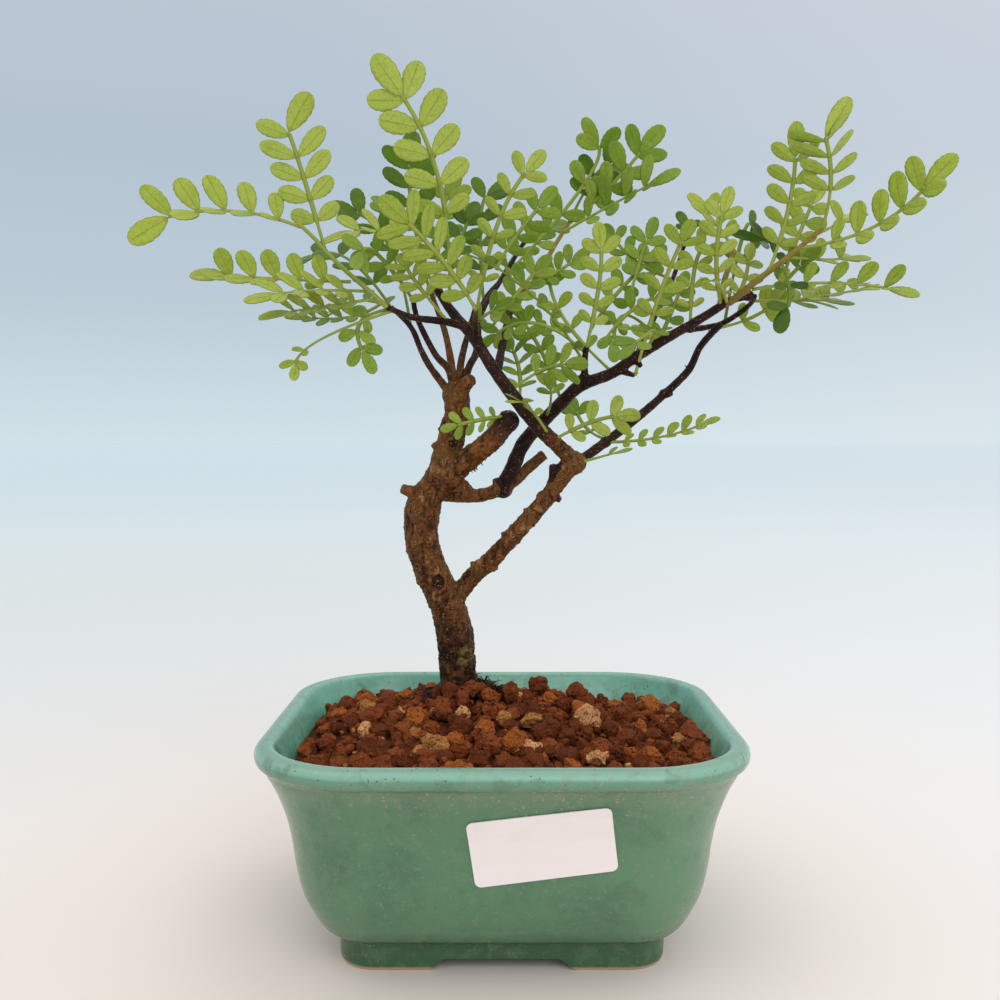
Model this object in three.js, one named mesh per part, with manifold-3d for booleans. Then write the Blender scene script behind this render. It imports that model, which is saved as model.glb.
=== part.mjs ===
// A chinese pepper bonsai in its glazed pot: a rounded rectangular pot on a plinth foot, filled with
// granular soil, and a small tree with a crooked trunk, pruned stubs and feathery compound leaves.
// Millimetres, +Z up. The pieces are drawn round the middle of the pot's foot, with the front towards -Y,
// and the whole is then moved so that the middle of its box stands over the origin.

import * as THREE from 'three';
import { mergeVertices } from 'three/addons/utils/BufferGeometryUtils.js';
import Module from 'manifold-3d';

const wasm = await Module();
wasm.setup();

// Driving dimensions
const GAP = 0.3;
const RIM_WIDTH = 160;
const RIM_DEPTH = 142.7;
const RIM_CORNER = 38;
const CORNER_STEPS = 5;
const FOOT_HEIGHT = 9;
const FOOT_WALL = 9;
const FOOT_RECESS = 6;
const ARCH_HEIGHT = 4;
const ARCH_WIDTH = 42;
const END_ARCH_WIDTH = 36;
const ARCH_SLOPE = 4;
const DRAIN_RADIUS = 6;
const DRAIN_SPACING = 44;
const FLOOR_Z = 12;
const SCREEN = { side: 18, thick: 0.8, holes: 2, pitch: 6, hole: 4 };
const LABEL = { width: 43.8, height: 21.8, corner: 2, thick: 0.4, x: 12.1, z: 46.8, tilt: 7.6 };
const SOIL_EDGE_Z = 64;
const SOIL_FALL = 0.04;
const SOIL_MOUND = { x: -12, y: 20, rise: 10, spreadX: 34, spreadY: 28 };
const GRANULE = { pitch: 9.6, up: 2.3, down: 1.1, jitter: 0.24 };
const TRUNK_FACETS = { sides: 10, step: 8 };
const ROOT_FACETS = { sides: 6, step: 7 };
const LIMB_FACETS = { stout: 7, slender: 5, stoutFrom: 2.2, step: 11.5 };
const RACHIS = { halfWidth: 0.55, halfHeight: 0.5, root: 0.65 };
const LEAFLET = {
  halfThick: 0.35, widthRatio: 0.56, lean: 28, leanGain: 8, droop: 0.05, reach: 0.93, shortest: 0.7,
  widestAt: 0.42, bluntAt: 0.93, bluntShare: 0.66, thickestAt: 0.55,
};
const END_LEAFLET = { scale: 1.15, widthRatio: 0.52, behind: 1.5 };
const LIFT_WAVE = 10;
const LIFT_TRIES = [0, 16, -16, 32, -32, 48, -48];

// The pot's wall as [inset from the rim's outline, height]: up the outside, over the lip, down the inside
const OUTER_WALL = [
  [28, 0], [27, 1.2], [26.6, 8], [25.5, 9.6], [21.5, 12], [17.8, 17.5], [14.8, 24], [12.9, 32],
  [11.6, 41], [9.8, 49], [6.9, 57], [4, 62.6], [2.6, 65.4], [0.7, 66.8], [0, 69],
];
const LIP_TOP = [[0.5, 71], [2.2, 72.4], [4.2, 72.6], [6, 71.8]];
const INNER_WALL = [
  [7.6, 68.5], [10.4, 62], [14, 53], [17, 42], [19, 30], [21.5, 21], [26, 15], [33, FLOOR_Z],
];

// Wood: each limb's route and its radius at the start and at the end
const TRUNK = [
  [-16, 26, 52], [-16, 26, 74], [-16.5, 26, 80], [-17.5, 25, 94], [-19.5, 25, 104], [-23, 24, 113],
  [-26.5, 23, 120.5], [-29.5, 22, 130], [-30, 22, 137.5], [-28.5, 22, 147], [-23, 21, 155],
];
const TRUNK_RADII = [6, 8.4, 7.4, 6.8, 7, 6.7, 6.3, 6.2, 6.3, 6.7, 4.6];
const LIMBS = [
  {
    // The leader
    route: [[-25.5, 22, 149], [-21, 23, 162.5], [-18, 23, 173], [-16.5, 22, 182], [-17, 21, 188.5]],
    radii: [5.3, 4.7],
  },
  {
    // The pruned stub that leans to the right
    route: [[-24, 22, 149.5], [-17.5, 19, 157.5], [-11, 16, 163.5], [-3.5, 13, 169.5], [3, 11, 177.5]],
    radii: [4.7, 3.8],
  },
  {
    // The curved branch and its cut end
    route: [
      [-22, 22, 149.5], [-13, 23, 148.5], [-6.5, 24, 149], [-0.5, 25, 151], [4, 26, 153.5], [8.5, 27, 157.5],
      [16, 28, 164],
    ],
    radii: [2.9, 2],
  },
  {
    // The long dark branch to the right
    route: [
      [-0.5, 25, 150], [4, 24, 159], [8, 23, 168], [16, 21, 177], [22, 19, 183], [28.5, 17, 189],
      [40, 15, 193.5], [46.5, 13, 198], [58, 9, 205], [71, 5, 212.5], [80, 2, 218], [86, 0, 219.5],
    ],
    radii: [3, 1.3],
  },
  {
    // The rising branch and its knuckle
    route: [
      [-20, 24, 108], [-14.5, 23, 114], [-10.5, 22, 119], [-4.5, 20, 124.5], [6.5, 17, 136.5], [17, 14, 149],
      [21, 13, 156], [27, 12, 161],
    ],
    radii: [3.4, 3],
  },
  { route: [[19, 13.5, 152], [23, 12.5, 158], [27, 12, 162]], radii: [3.2, 4] },
  {
    // The branch that turns back over the stub
    route: [
      [27, 12, 160.5], [21.5, 10, 166], [13, 8, 174], [5.5, 6, 183], [-2, 6, 193], [-10.5, 7, 206],
      [-19, 9, 216.5], [-25, 10, 226.5],
    ],
    radii: [3, 1.5],
  },
  {
    // The low dark branch to the right
    route: [
      [26, 13, 160], [38, 17, 168.5], [50, 21, 177.5], [60, 23, 186], [69, 22, 195], [72.5, 17, 203.5],
      [78, 8, 210.5],
    ],
    radii: [1.9, 1.2],
  },
  {
    route: [[-18, 21, 185], [-26, 23, 195.5], [-30, 25, 202.5], [-34, 26, 211.5], [-41.5, 27, 219]],
    radii: [1.5, 0.9],
  },
  {
    route: [[-17.5, 21, 186], [-19.5, 16, 195], [-24, 12, 200], [-30, 8, 212], [-31.5, 6, 219]],
    radii: [1.5, 0.9],
  },
  { route: [[-17, 21, 186], [-19.5, 25, 201.5], [-22, 28, 212], [-27.5, 31, 226.5]], radii: [1.6, 0.9] },
  { route: [[-16.5, 22, 186], [-15.5, 27, 197], [-14, 31, 205], [-10, 38, 220.5]], radii: [1.6, 0.9] },
  {
    route: [[-16, 22, 186], [-12, 25, 197], [-9.5, 30, 203], [-7.5, 41, 221.5], [0.5, 48, 232.5]],
    radii: [1.6, 0.9],
  },
  {
    route: [[-13, 8, 209.5], [-19, 6, 211], [-24.5, 4, 211.5], [-32.5, 2, 212.5], [-41, 0, 216]],
    radii: [1.5, 1],
  },
  { route: [[-9, 7, 204], [-9.5, 1, 209.5], [-9, -4, 214.5]], radii: [1.3, 0.9] },
  {
    route: [
      [-1.5, 7, 194], [1, 20, 208], [5, 36, 223], [12.5, 42, 230.5], [20.5, 49, 245], [27.5, 53, 256.5],
    ],
    radii: [1.6, 0.8],
  },
  { route: [[-9, 7, 204], [-7.5, 18, 216], [0.5, 29, 230.5], [9, 37, 245.5]], radii: [1.4, 0.8] },
  { route: [[30.5, 17, 189.5], [30, 15, 197], [30.5, 13, 203]], radii: [1.4, 1.1] },
  { route: [[42, 14.5, 194.5], [45, 13, 193.5], [48, 11.5, 192.5]], radii: [1.2, 0.9] },
  { route: [[49, 13, 199.5], [53.5, 20, 209.5], [63, 31, 226.5], [69.5, 36, 243.5]], radii: [1.3, 0.8] },
  { route: [[77, 4, 216], [78.5, 5.5, 225], [82.5, 7, 236.5]], radii: [1.2, 0.9] },
  { route: [[79.5, 2, 217], [86.5, -2, 223], [97.5, -5, 231.5], [109.5, -8, 241.5]], radii: [1.3, 0.8] },
  { route: [[66, 7.5, 208.5], [74, 14, 210], [81, 16, 212], [88, 10, 217], [89, 3, 220]], radii: [1.2, 0.9] },
  { route: [[-28, 22, 149], [-33, 20, 150], [-37, 18.5, 151.5]], radii: [3.2, 1.8] },
  { route: [[-17, 21, 185], [-14, 18, 189], [-11, 15, 191.5]], radii: [3.2, 2.4] },
  { route: [[-21, 23, 163], [-25.5, 21, 168]], radii: [2, 1.2] },
  { route: [[19, 13.5, 155], [18.5, 12.5, 160.5]], radii: [2, 1.4] },
];
const ROOTS = [
  { route: [[-16, 26, 79], [-9, 22, 75], [-2, 19, 72.5], [6, 17, 68]], radii: [4.2, 1.2] },
  { route: [[-16, 26, 79], [-22, 20, 75], [-27, 14, 71.5], [-31, 10, 67]], radii: [4.2, 1.2] },
  { route: [[-16, 26, 79], [-21, 33, 75], [-25, 40, 70]], radii: [4, 1.4] },
];

// The way each kind of leaf turns its upper face, and how far its leaflets are folded up, in degrees
const FACES = {
  level: [0, -0.35, 0.94, 14],
  spread: [0, -0.57, 0.82, 16],
  standing: [0, -0.77, 0.64, 33],
  backward: [0, 0.97, 0.25, 12],
  forward: [0, -0.9, 0.44, 16],
  sideways: [0.6, 0.15, 0.78, 15],
};

// Colours of the foliage, by age
const GREENS = {
  young: '#8fae3c',
  pale: '#a3b860',
  mid: '#6c9a34',
  dark: '#3f7434',
  glossy: '#26542c',
};

// Compound leaves: name, base, middle and tip of the stalk, pairs of leaflets, leaflet length, bare share of
// the stalk, face and age. Each base lies on the limb that carries the leaf.
const SHOOT_LEAVES = [
  ['left_long', [-69, -6, 242], [-91, -8, 247], [-113, -10, 244.5], 5, 13.5, 0.17, 'standing', 'young'],
  ['left_upright', [-61, -4, 235], [-68, -7, 260], [-72, -10, 273], 5, 13, 0.24, 'backward', 'young'],
  ['left_level', [-52.5, -2, 224], [-75, 2, 225.5], [-97, 5, 227], 5, 12, 0.21, 'standing', 'young'],
  ['left_low_front', [-47, 0, 221], [-62.5, -10, 220], [-74, -17, 218], 4, 11, 0.28, 'spread', 'young'],
  ['left_low_back', [-44, 0, 218.5], [-60, -4, 215.5], [-72, -9, 213], 5, 10, 0.25, 'spread', 'young'],
];
const LEAVES = [
  ['left_drooping', [-38, 1, 214.5], [-62, -6, 204], [-70, -12, 195], 2, 6, 0.84, 'level', 'young'],
  ['left_hanging', [-39, 1, 215], [-50, 4, 210.5], [-49.5, 6, 201], 3, 8, 0.42, 'backward', 'mid'],
  ['top_tall', [-19, 9, 217], [-20.5, -12, 253], [-32.5, -22, 281], 5, 13.5, 0.46, 'backward', 'young'],
  ['front_large', [-9, -4, 214], [-18.5, -15, 227.5], [-30.5, -25, 239.5], 6, 11.5, 0.17, 'backward', 'pale'],
  ['top_left_level', [-25, 10, 226], [-38, 7, 240.5], [-51.5, 4, 242.5], 4, 11, 0.35, 'spread', 'young'],
  ['front_upright', [-9.5, 1, 209.5], [-2.5, -7, 240], [8, -12, 259], 6, 8.2, 0.28, 'backward', 'young'],
  ['front_small', [-19, 6, 211], [-28.5, -3, 222], [-32.5, -11, 228], 4, 7.8, 0.45, 'backward', 'pale'],
  ['back_left_high', [-27, 31, 225], [-34, 40, 253.5], [-35.5, 44, 275], 4, 12.5, 0.55, 'forward', 'dark'],
  ['back_top', [0, 48, 232], [31, 53, 268], [38, 52, 285], 4, 10.5, 0.3, 'forward', 'mid'],
  ['back_right_short', [12.5, 42, 230.5], [20, 42, 233.5], [27, 43, 238], 3, 8, 0.3, 'forward', 'mid'],
  ['rear_high', [27, 53, 256], [36.5, 57, 273.5], [43.5, 60, 279], 3, 11, 0.4, 'forward', 'dark'],
  ['rear_middle', [26, 52, 254], [40.5, 50, 266.5], [53.5, 47, 280.5], 4, 12, 0.35, 'forward', 'mid'],
  ['rear_low', [24, 51, 251], [41, 45, 259.5], [55.5, 38, 266], 4, 12, 0.3, 'standing', 'mid'],
  ['spur_upright', [30.5, 13, 202.5], [34.5, 9, 223.5], [35, 6, 236.5], 5, 8.4, 0.26, 'backward', 'young'],
  ['spur_edgewise', [30, 15, 197], [13.5, -3, 216.5], [-5, -18, 228], 7, 7.5, 0.14, 'sideways', 'mid'],
  ['inner_diagonal', [22, 19, 183], [13.5, 28, 205], [3.5, 32, 218.5], 6, 7.8, 0.22, 'forward', 'mid'],
  ['inner_short', [6, 6.5, 182.5], [6.5, 15, 193], [4, 22, 202.5], 4, 7.8, 0.3, 'forward', 'mid'],
  ['leader_front', [2, 11, 178], [-7, 3, 176.5], [-15.5, 0, 174.5], 4, 5.6, 0.3, 'backward', 'mid'],
  ['crossing_small', [18, 9, 169], [11, 0, 179], [6.5, -6, 182.5], 2, 7, 0.6, 'level', 'young'],
  ['crossing_upper', [16, 21, 177], [17.5, 14, 182], [17.5, 9, 187], 1, 7.5, 0.9, 'backward', 'mid'],
  ['right_front', [48, 11.5, 192.5], [55, 3, 219], [61, -9, 236.5], 5, 8.5, 0.27, 'backward', 'pale'],
  ['right_upright', [67, 7, 209], [67.5, 2, 229.5], [71, -1, 236], 4, 7.2, 0.25, 'backward', 'young'],
  ['right_slim', [77, 3, 216], [73.5, -6, 231.5], [74.5, -11, 245.5], 5, 8, 0.2, 'backward', 'young'],
  ['back_thin_left', [64, 32, 230], [51.5, 38, 237.5], [43.5, 44, 247.5], 4, 7.2, 0.2, 'forward', 'mid'],
  ['back_thin_tip', [69.5, 36, 243], [72, 39, 247], [71.5, 41, 251], 1, 7, 0.8, 'forward', 'dark'],
  ['middle_hanging', [54, 20.5, 210], [44, 16, 214.5], [40.5, 13, 205.5], 2, 7.5, 0.68, 'backward', 'mid'],
  ['right_golden', [82.5, 7, 236], [78.5, 9, 243], [73, 12, 251], 3, 8.5, 0.35, 'standing', 'young'],
  ['end_upright', [92, -4, 227.5], [98, -5, 247.5], [99.5, -8, 265], 5, 10.2, 0.25, 'backward', 'young'],
  ['end_tip_upright', [109, -8, 241], [110.5, -12, 256], [107.5, -15, 270], 4, 12.5, 0.42, 'backward', 'young'],
  ['end_long', [102, -6, 235], [122.5, -16, 239.5], [137.5, -24, 251], 5, 12, 0.25, 'standing', 'young'],
  ['end_level', [87, -1, 221.5], [108, -10, 222.5], [128, -19, 219.5], 5, 9, 0.2, 'standing', 'mid'],
  ['end_level_back', [98, -5, 232], [112.5, 3, 232.5], [121.5, 10, 234], 2, 10.8, 0.5, 'standing', 'mid'],
  ['end_low_back', [88.5, 6.5, 218.5], [101.5, 6, 218.5], [117.5, 13, 219.5], 4, 10.5, 0.25, 'spread', 'mid'],
  ['end_drooping', [96, -5, 230], [97, -12, 220.5], [95.5, -16, 213.5], 2, 9, 0.5, 'forward', 'glossy'],
  ['end_inner', [90, -3.5, 225.5], [96, 3, 235], [93, 8, 240], 2, 10.5, 0.55, 'sideways', 'glossy'],
  ['end_young', [79, 2, 217], [75, -6, 222], [70.5, -12, 223], 2, 4.5, 0.3, 'level', 'pale'],
  ['low_right', [38, 17, 168.5], [55.5, 11, 170], [70.5, 6, 174.5], 6, 6.6, 0.2, 'spread', 'young'],
  ['low_middle', [18, 9, 169], [30, 3, 175], [39.5, -2, 177.5], 3, 8.6, 0.3, 'backward', 'young'],
  ['low_back', [40, 17.5, 169.5], [33.5, 30, 172.5], [29, 40, 180], 2, 8, 0.5, 'forward', 'mid'],
  ['front_left_fan', [-31, 6, 218], [-41.5, -8, 231.5], [-46.5, -16, 232], 4, 8.5, 0.35, 'backward', 'mid'],
  ['back_middle_high', [-25.5, 30, 220.5], [-24, 46, 250], [-21.5, 54, 265.5], 4, 11, 0.4, 'forward', 'mid'],
  ['back_left_fan', [-41, 27, 218], [-57.5, 38, 237.5], [-71.5, 46, 241.5], 4, 11, 0.3, 'spread', 'dark'],
  ['back_deep_high', [-7, 41, 222], [-8.5, 56, 254.5], [-6, 62, 267.5], 4, 10, 0.3, 'forward', 'dark'],
  ['back_deep_right', [-3.5, 44.5, 227], [9, 60, 248], [19.5, 70, 257], 4, 9.5, 0.3, 'forward', 'mid'],
  ['back_deep_left', [-10, 38, 220], [-28.5, 54, 245.5], [-44.5, 64, 262.5], 4, 10, 0.35, 'spread', 'mid'],
  ['back_low_left', [-38, 27, 216], [-50, 40, 223], [-63, 50, 221.5], 3, 9, 0.3, 'spread', 'mid'],
  ['right_back_upright', [81, 16, 212], [89.5, 28, 244], [94.5, 34, 250], 3, 8, 0.55, 'forward', 'dark'],
  ['middle_back_fan', [40, 15, 194], [24.5, 34, 214], [18.5, 44, 231], 4, 8, 0.3, 'forward', 'pale'],
  ['front_low_fan', [52, 11, 202], [52.5, -6, 207], [44.5, -18, 201.5], 3, 8.5, 0.4, 'level', 'mid'],
  ['end_tip_short', [105.5, -7, 238.5], [113.5, -3, 242.5], [119, 2, 245.5], 1, 12, 0.9, 'standing', 'young'],
  ['inner_level', [30.5, 14, 200.5], [13, 16, 211.5], [-2, 18, 208], 5, 6.8, 0.4, 'forward', 'mid'],
  ['inner_right', [3, 6, 186.5], [13, 8, 193.5], [22, 5, 196], 3, 9, 0.5, 'backward', 'mid'],
  ['back_left_tuft', [-34, 26, 211.5], [-43, 40, 243], [-56, 45, 257], 3, 10.5, 0.62, 'forward', 'dark'],
];
const LEFT_SHOOT = {
  route: [[-40, 0, 215.5], [-45.5, -1, 220.5], [-56.5, -3, 230], [-64.5, -5, 238.5], [-70, -6, 243.5]],
  radii: [1, 0.7],
};

// A repeatable scatter between 0 and 1
function scatter(a, b) {
  const wave = Math.sin(a * 12.9898 + b * 78.233) * 43758.5453;
  return wave - Math.floor(wave);
}

// Closed solids from points and triangles, and from three.js geometry
function solidFrom(points, faces) {
  const mesh = new wasm.Mesh({
    numProp: 3,
    vertProperties: new Float32Array(points.flat()),
    triVerts: new Uint32Array(faces.flat()),
  });
  return new wasm.Manifold(mesh);
}

function solidOf(geometry) {
  const bare = geometry.clone();
  bare.deleteAttribute('normal');
  bare.deleteAttribute('uv');
  const merged = mergeVertices(bare, 1e-5);
  const mesh = new wasm.Mesh({
    numProp: 3,
    vertProperties: new Float32Array(merged.attributes.position.array),
    triVerts: new Uint32Array(merged.index.array),
  });
  return new wasm.Manifold(mesh);
}

function piece(name, solid, material) {
  const data = solid.getMesh();
  const geometry = new THREE.BufferGeometry();
  geometry.setAttribute('position', new THREE.BufferAttribute(new Float32Array(data.vertProperties), 3));
  geometry.setIndex(new THREE.BufferAttribute(new Uint32Array(data.triVerts), 1));
  geometry.computeVertexNormals();
  const mesh = new THREE.Mesh(geometry, material);
  mesh.name = name;
  return mesh;
}

function largestBody(solid) {
  return solid.decompose().sort((a, b) => b.volume() - a.volume())[0];
}

// A closed skin over rings of points, with a flat fan at each end
function skin(rings) {
  const count = rings[0].length;
  const points = rings.flat();
  const faces = [];
  for (let r = 0; r < rings.length - 1; r += 1) {
    for (let i = 0; i < count; i += 1) {
      const a = r * count + i;
      const b = r * count + (i + 1) % count;
      faces.push([a, b, b + count], [a, b + count, a + count]);
    }
  }
  const last = (rings.length - 1) * count;
  const first = points.push(centre(rings[0])) - 1;
  const end = points.push(centre(rings[rings.length - 1])) - 1;
  for (let i = 0; i < count; i += 1) {
    const next = (i + 1) % count;
    faces.push([first, next, i], [end, last + i, last + next]);
  }
  return solidFrom(points, faces);
}

function centre(ring) {
  const sum = ring.reduce((s, p) => [s[0] + p[0], s[1] + p[1], s[2] + p[2]], [0, 0, 0]);
  return sum.map((v) => v / ring.length);
}

// The pot's outline at one inset from the rim, counter-clockwise seen from above
function potRing(inset, z) {
  const halfX = RIM_WIDTH / 2 - inset;
  const halfY = RIM_DEPTH / 2 - inset;
  const corner = RIM_CORNER - inset * 0.95;
  const ring = [];
  const quarters = [[1, 1], [-1, 1], [-1, -1], [1, -1]];
  quarters.forEach(([signX, signY], quarter) => {
    for (let step = 0; step <= CORNER_STEPS; step += 1) {
      const angle = (quarter + step / CORNER_STEPS) * Math.PI / 2;
      const x = signX * (halfX - corner) + corner * Math.cos(angle);
      const y = signY * (halfY - corner) + corner * Math.sin(angle);
      ring.push([x, y, z]);
    }
  });
  return ring;
}

function insetAt(wall, z) {
  const upper = wall.findIndex((point) => point[1] >= z);
  const [inset1, z1] = wall[upper];
  const [inset0, z0] = wall[upper - 1];
  return inset0 + (inset1 - inset0) * (z - z0) / (z1 - z0);
}

function box(sizeX, sizeY, sizeZ, x, y, z) {
  return solidOf(new THREE.BoxGeometry(sizeX, sizeY, sizeZ).translate(x, y, z));
}

// The arch cut under each side of the foot, a low trapezium with sloping ends
function footArch(width, along) {
  const low = width / 2 + ARCH_SLOPE / 2;
  const high = width / 2 - ARCH_SLOPE / 2;
  const shape = new THREE.Shape();
  shape.moveTo(-low - 1, -1);
  shape.lineTo(low + 1, -1);
  shape.lineTo(low, 0);
  shape.lineTo(high, ARCH_HEIGHT);
  shape.lineTo(-high, ARCH_HEIGHT);
  shape.lineTo(-low, 0);
  shape.closePath();
  const cut = new THREE.ExtrudeGeometry(shape, { depth: RIM_WIDTH, bevelEnabled: false });
  cut.translate(0, 0, -RIM_WIDTH / 2).rotateX(Math.PI / 2);
  if (along === 'x') cut.rotateZ(Math.PI / 2);
  return solidOf(cut);
}

function drainHole(x) {
  const hole = new THREE.CylinderGeometry(DRAIN_RADIUS, DRAIN_RADIUS, FLOOR_Z * 2, 20);
  return solidOf(hole.rotateX(Math.PI / 2).translate(x, 0, FLOOR_Z));
}

function makePot() {
  const wall = [...OUTER_WALL, ...LIP_TOP, ...INNER_WALL].map(([inset, z]) => potRing(inset, z));
  const footInset = OUTER_WALL[0][0] + FOOT_WALL;
  const recess = skin([potRing(footInset, -1), potRing(footInset, FOOT_RECESS)]);
  return skin(wall)
    .subtract(recess)
    .subtract(footArch(ARCH_WIDTH, 'y'))
    .subtract(footArch(END_ARCH_WIDTH, 'x'))
    .subtract(drainHole(-DRAIN_SPACING / 2))
    .subtract(drainHole(DRAIN_SPACING / 2));
}

// A square plastic screen over one drain hole
function makeScreen(x, spare) {
  const z = FLOOR_Z + GAP + SCREEN.thick / 2;
  if (spare) {
    const side = SCREEN.side + 2 * spare;
    return box(side, side, SCREEN.thick + 2 * spare, x, 0, z);
  }
  let screen = box(SCREEN.side, SCREEN.side, SCREEN.thick, x, 0, z);
  const offset = (SCREEN.holes - 1) / 2;
  for (let i = 0; i < SCREEN.holes; i += 1) {
    for (let j = 0; j < SCREEN.holes; j += 1) {
      const holeX = x + (i - offset) * SCREEN.pitch;
      const holeY = (j - offset) * SCREEN.pitch;
      screen = screen.subtract(box(SCREEN.hole, SCREEN.hole, SCREEN.thick * 3, holeX, holeY, z));
    }
  }
  return screen;
}

// A plain stuck-on plate that follows the front wall
function makeLabel() {
  const { width, height, corner, thick, x, z, tilt } = LABEL;
  const turn = THREE.MathUtils.degToRad(tilt);
  const columns = 4;
  const rows = [0, 0.3 * corner, corner];
  for (let i = 1; i < 4; i += 1) rows.push(corner + (height - 2 * corner) * i / 4);
  rows.push(height - corner, height - 0.3 * corner, height);
  const sheet = (standOff) => rows.map((row) => {
    const into = Math.max(corner - Math.min(row, height - row), 0);
    const half = width / 2 - corner + Math.sqrt(corner * corner - into * into);
    const line = [];
    for (let c = 0; c <= columns; c += 1) {
      const across = (c / columns * 2 - 1) * half;
      const up = row - height / 2;
      const px = x + across * Math.cos(turn) - up * Math.sin(turn);
      const pz = z + across * Math.sin(turn) + up * Math.cos(turn);
      line.push([px, -(RIM_DEPTH / 2 - insetAt(OUTER_WALL, pz)) - standOff, pz]);
    }
    return line;
  });
  const front = sheet(GAP + 0.05 + thick);
  const back = sheet(GAP + 0.05);
  const rings = front.map((line, i) => [...line, ...back[i].slice().reverse()]);
  return skin(rings);
}

// Soil: the pot's inside, topped by a field of blocky granules
function soilHeight(x, y) {
  const far = ((x - SOIL_MOUND.x) / SOIL_MOUND.spreadX) ** 2 + ((y - SOIL_MOUND.y) / SOIL_MOUND.spreadY) ** 2;
  return SOIL_EDGE_Z - SOIL_FALL * Math.max(y, 0) + SOIL_MOUND.rise * Math.exp(-far / 2);
}

function granuleField() {
  const { pitch, up, down, jitter } = GRANULE;
  const rowStep = pitch * Math.sqrt(3) / 2;
  const columns = Math.ceil(RIM_WIDTH / pitch) + 2;
  const rows = Math.ceil(RIM_DEPTH / rowStep) + 2;
  const points = [];
  const faces = [];
  const index = new Map();
  const vertex = (key, make) => {
    if (!index.has(key)) index.set(key, points.push(make()) - 1);
    return index.get(key);
  };
  const summit = (i, j) => vertex(`s${i},${j}`, () => {
    const shiftX = (scatter(i, j) - 0.5) * 2 * jitter * pitch;
    const shiftY = (scatter(j + 40, i + 9) - 0.5) * 2 * jitter * pitch;
    const x = (i - columns / 2 + (j % 2) / 2) * pitch + shiftX;
    const y = (j - rows / 2) * rowStep + shiftY;
    return [x, y, soilHeight(x, y) + up * (0.35 + scatter(i + 7, j + 3))];
  });
  const valley = (a, b, c) => vertex(`v${[a, b, c].sort((m, n) => m - n)}`, () => {
    const mean = centre([points[a], points[b], points[c]]);
    const low = scatter(a + b, c + 5);
    return [mean[0], mean[1], soilHeight(mean[0], mean[1]) - down * (0.4 + low)];
  });
  const triangles = [];
  for (let j = 0; j < rows - 1; j += 1) {
    for (let i = 0; i < columns - 1; i += 1) {
      const a = summit(i, j);
      const b = summit(i + 1, j);
      const c = summit(i, j + 1);
      const d = summit(i + 1, j + 1);
      if (j % 2) triangles.push([a, b, d], [a, d, c]);
      else triangles.push([a, b, c], [b, d, c]);
    }
  }
  triangles.forEach(([a, b, c]) => {
    const v = valley(a, b, c);
    faces.push([a, b, v], [b, c, v], [c, a, v]);
  });
  const border = new Map();
  faces.forEach(([a, b, c]) => [[a, b], [b, c], [c, a]].forEach(([m, n]) => border.set(`${m},${n}`, [m, n])));
  const open = [...border.values()].filter(([m, n]) => !border.has(`${n},${m}`));
  const below = new Map();
  const dropped = (m) => {
    if (!below.has(m)) below.set(m, points.push([points[m][0], points[m][1], 0]) - 1);
    return below.get(m);
  };
  const bottom = points.push([0, 0, 0]) - 1;
  open.forEach(([m, n]) => {
    faces.push([n, m, dropped(m)], [n, dropped(m), dropped(n)], [dropped(n), dropped(m), bottom]);
  });
  return solidFrom(points, faces);
}

function makeSoil(woodWithClearance) {
  const levels = [...INNER_WALL].reverse();
  const inside = levels.map(([inset, z]) => potRing(inset + GAP, z === FLOOR_Z ? z + GAP : z + GAP * 0.5));
  const filling = skin([...inside, potRing(INNER_WALL[0][0] + GAP, 80)])
    .intersect(granuleField())
    .subtract(makeScreen(-DRAIN_SPACING / 2, GAP))
    .subtract(makeScreen(DRAIN_SPACING / 2, GAP))
    .subtract(woodWithClearance);
  return largestBody(filling);
}

// A limb: a tapering skin round a smooth curve through the route
function limbRings(route, radiusAt, sides, stepLength, spare) {
  const curve = new THREE.CatmullRomCurve3(route.map((p) => new THREE.Vector3(...p)), false, 'centripetal');
  const steps = Math.max(2, Math.round(curve.getLength() / stepLength));
  const frames = curve.computeFrenetFrames(steps, false);
  const rings = [];
  for (let s = 0; s <= steps; s += 1) {
    const middle = curve.getPointAt(s / steps);
    const radius = radiusAt(s / steps, curve);
    const ring = [];
    for (let i = 0; i < sides; i += 1) {
      const angle = i / sides * 2 * Math.PI;
      const out = frames.normals[s].clone().multiplyScalar(Math.cos(angle) * radius);
      out.addScaledVector(frames.binormals[s], Math.sin(angle) * radius);
      ring.push(middle.clone().add(out).toArray());
    }
    rings.push(ring);
  }
  [[0, -spare], [steps, spare]].forEach(([s, reach]) => {
    const beyond = curve.getTangentAt(s / steps).multiplyScalar(reach);
    rings[s] = rings[s].map(([x, y, z]) => [x + beyond.x, y + beyond.y, z + beyond.z]);
  });
  return rings;
}

// One branch, root or stub, with its radius falling evenly to its end
function makeLimb({ route, radii }, sides, stepLength, spare) {
  const radiusAt = (u) => radii[0] + (radii[1] - radii[0]) * u + spare;
  return skin(limbRings(route, radiusAt, sides, stepLength, spare));
}

function makeTrunk(spare) {
  const count = TRUNK_RADII.length - 1;
  const radiusAt = (u, curve) => {
    const place = curve.getUtoTmapping(u) * count;
    const from = Math.min(Math.floor(place), count - 1);
    const share = place - from;
    return TRUNK_RADII[from] * (1 - share) + TRUNK_RADII[from + 1] * share + spare;
  };
  return skin(limbRings(TRUNK, radiusAt, TRUNK_FACETS.sides, TRUNK_FACETS.step, spare));
}

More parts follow.
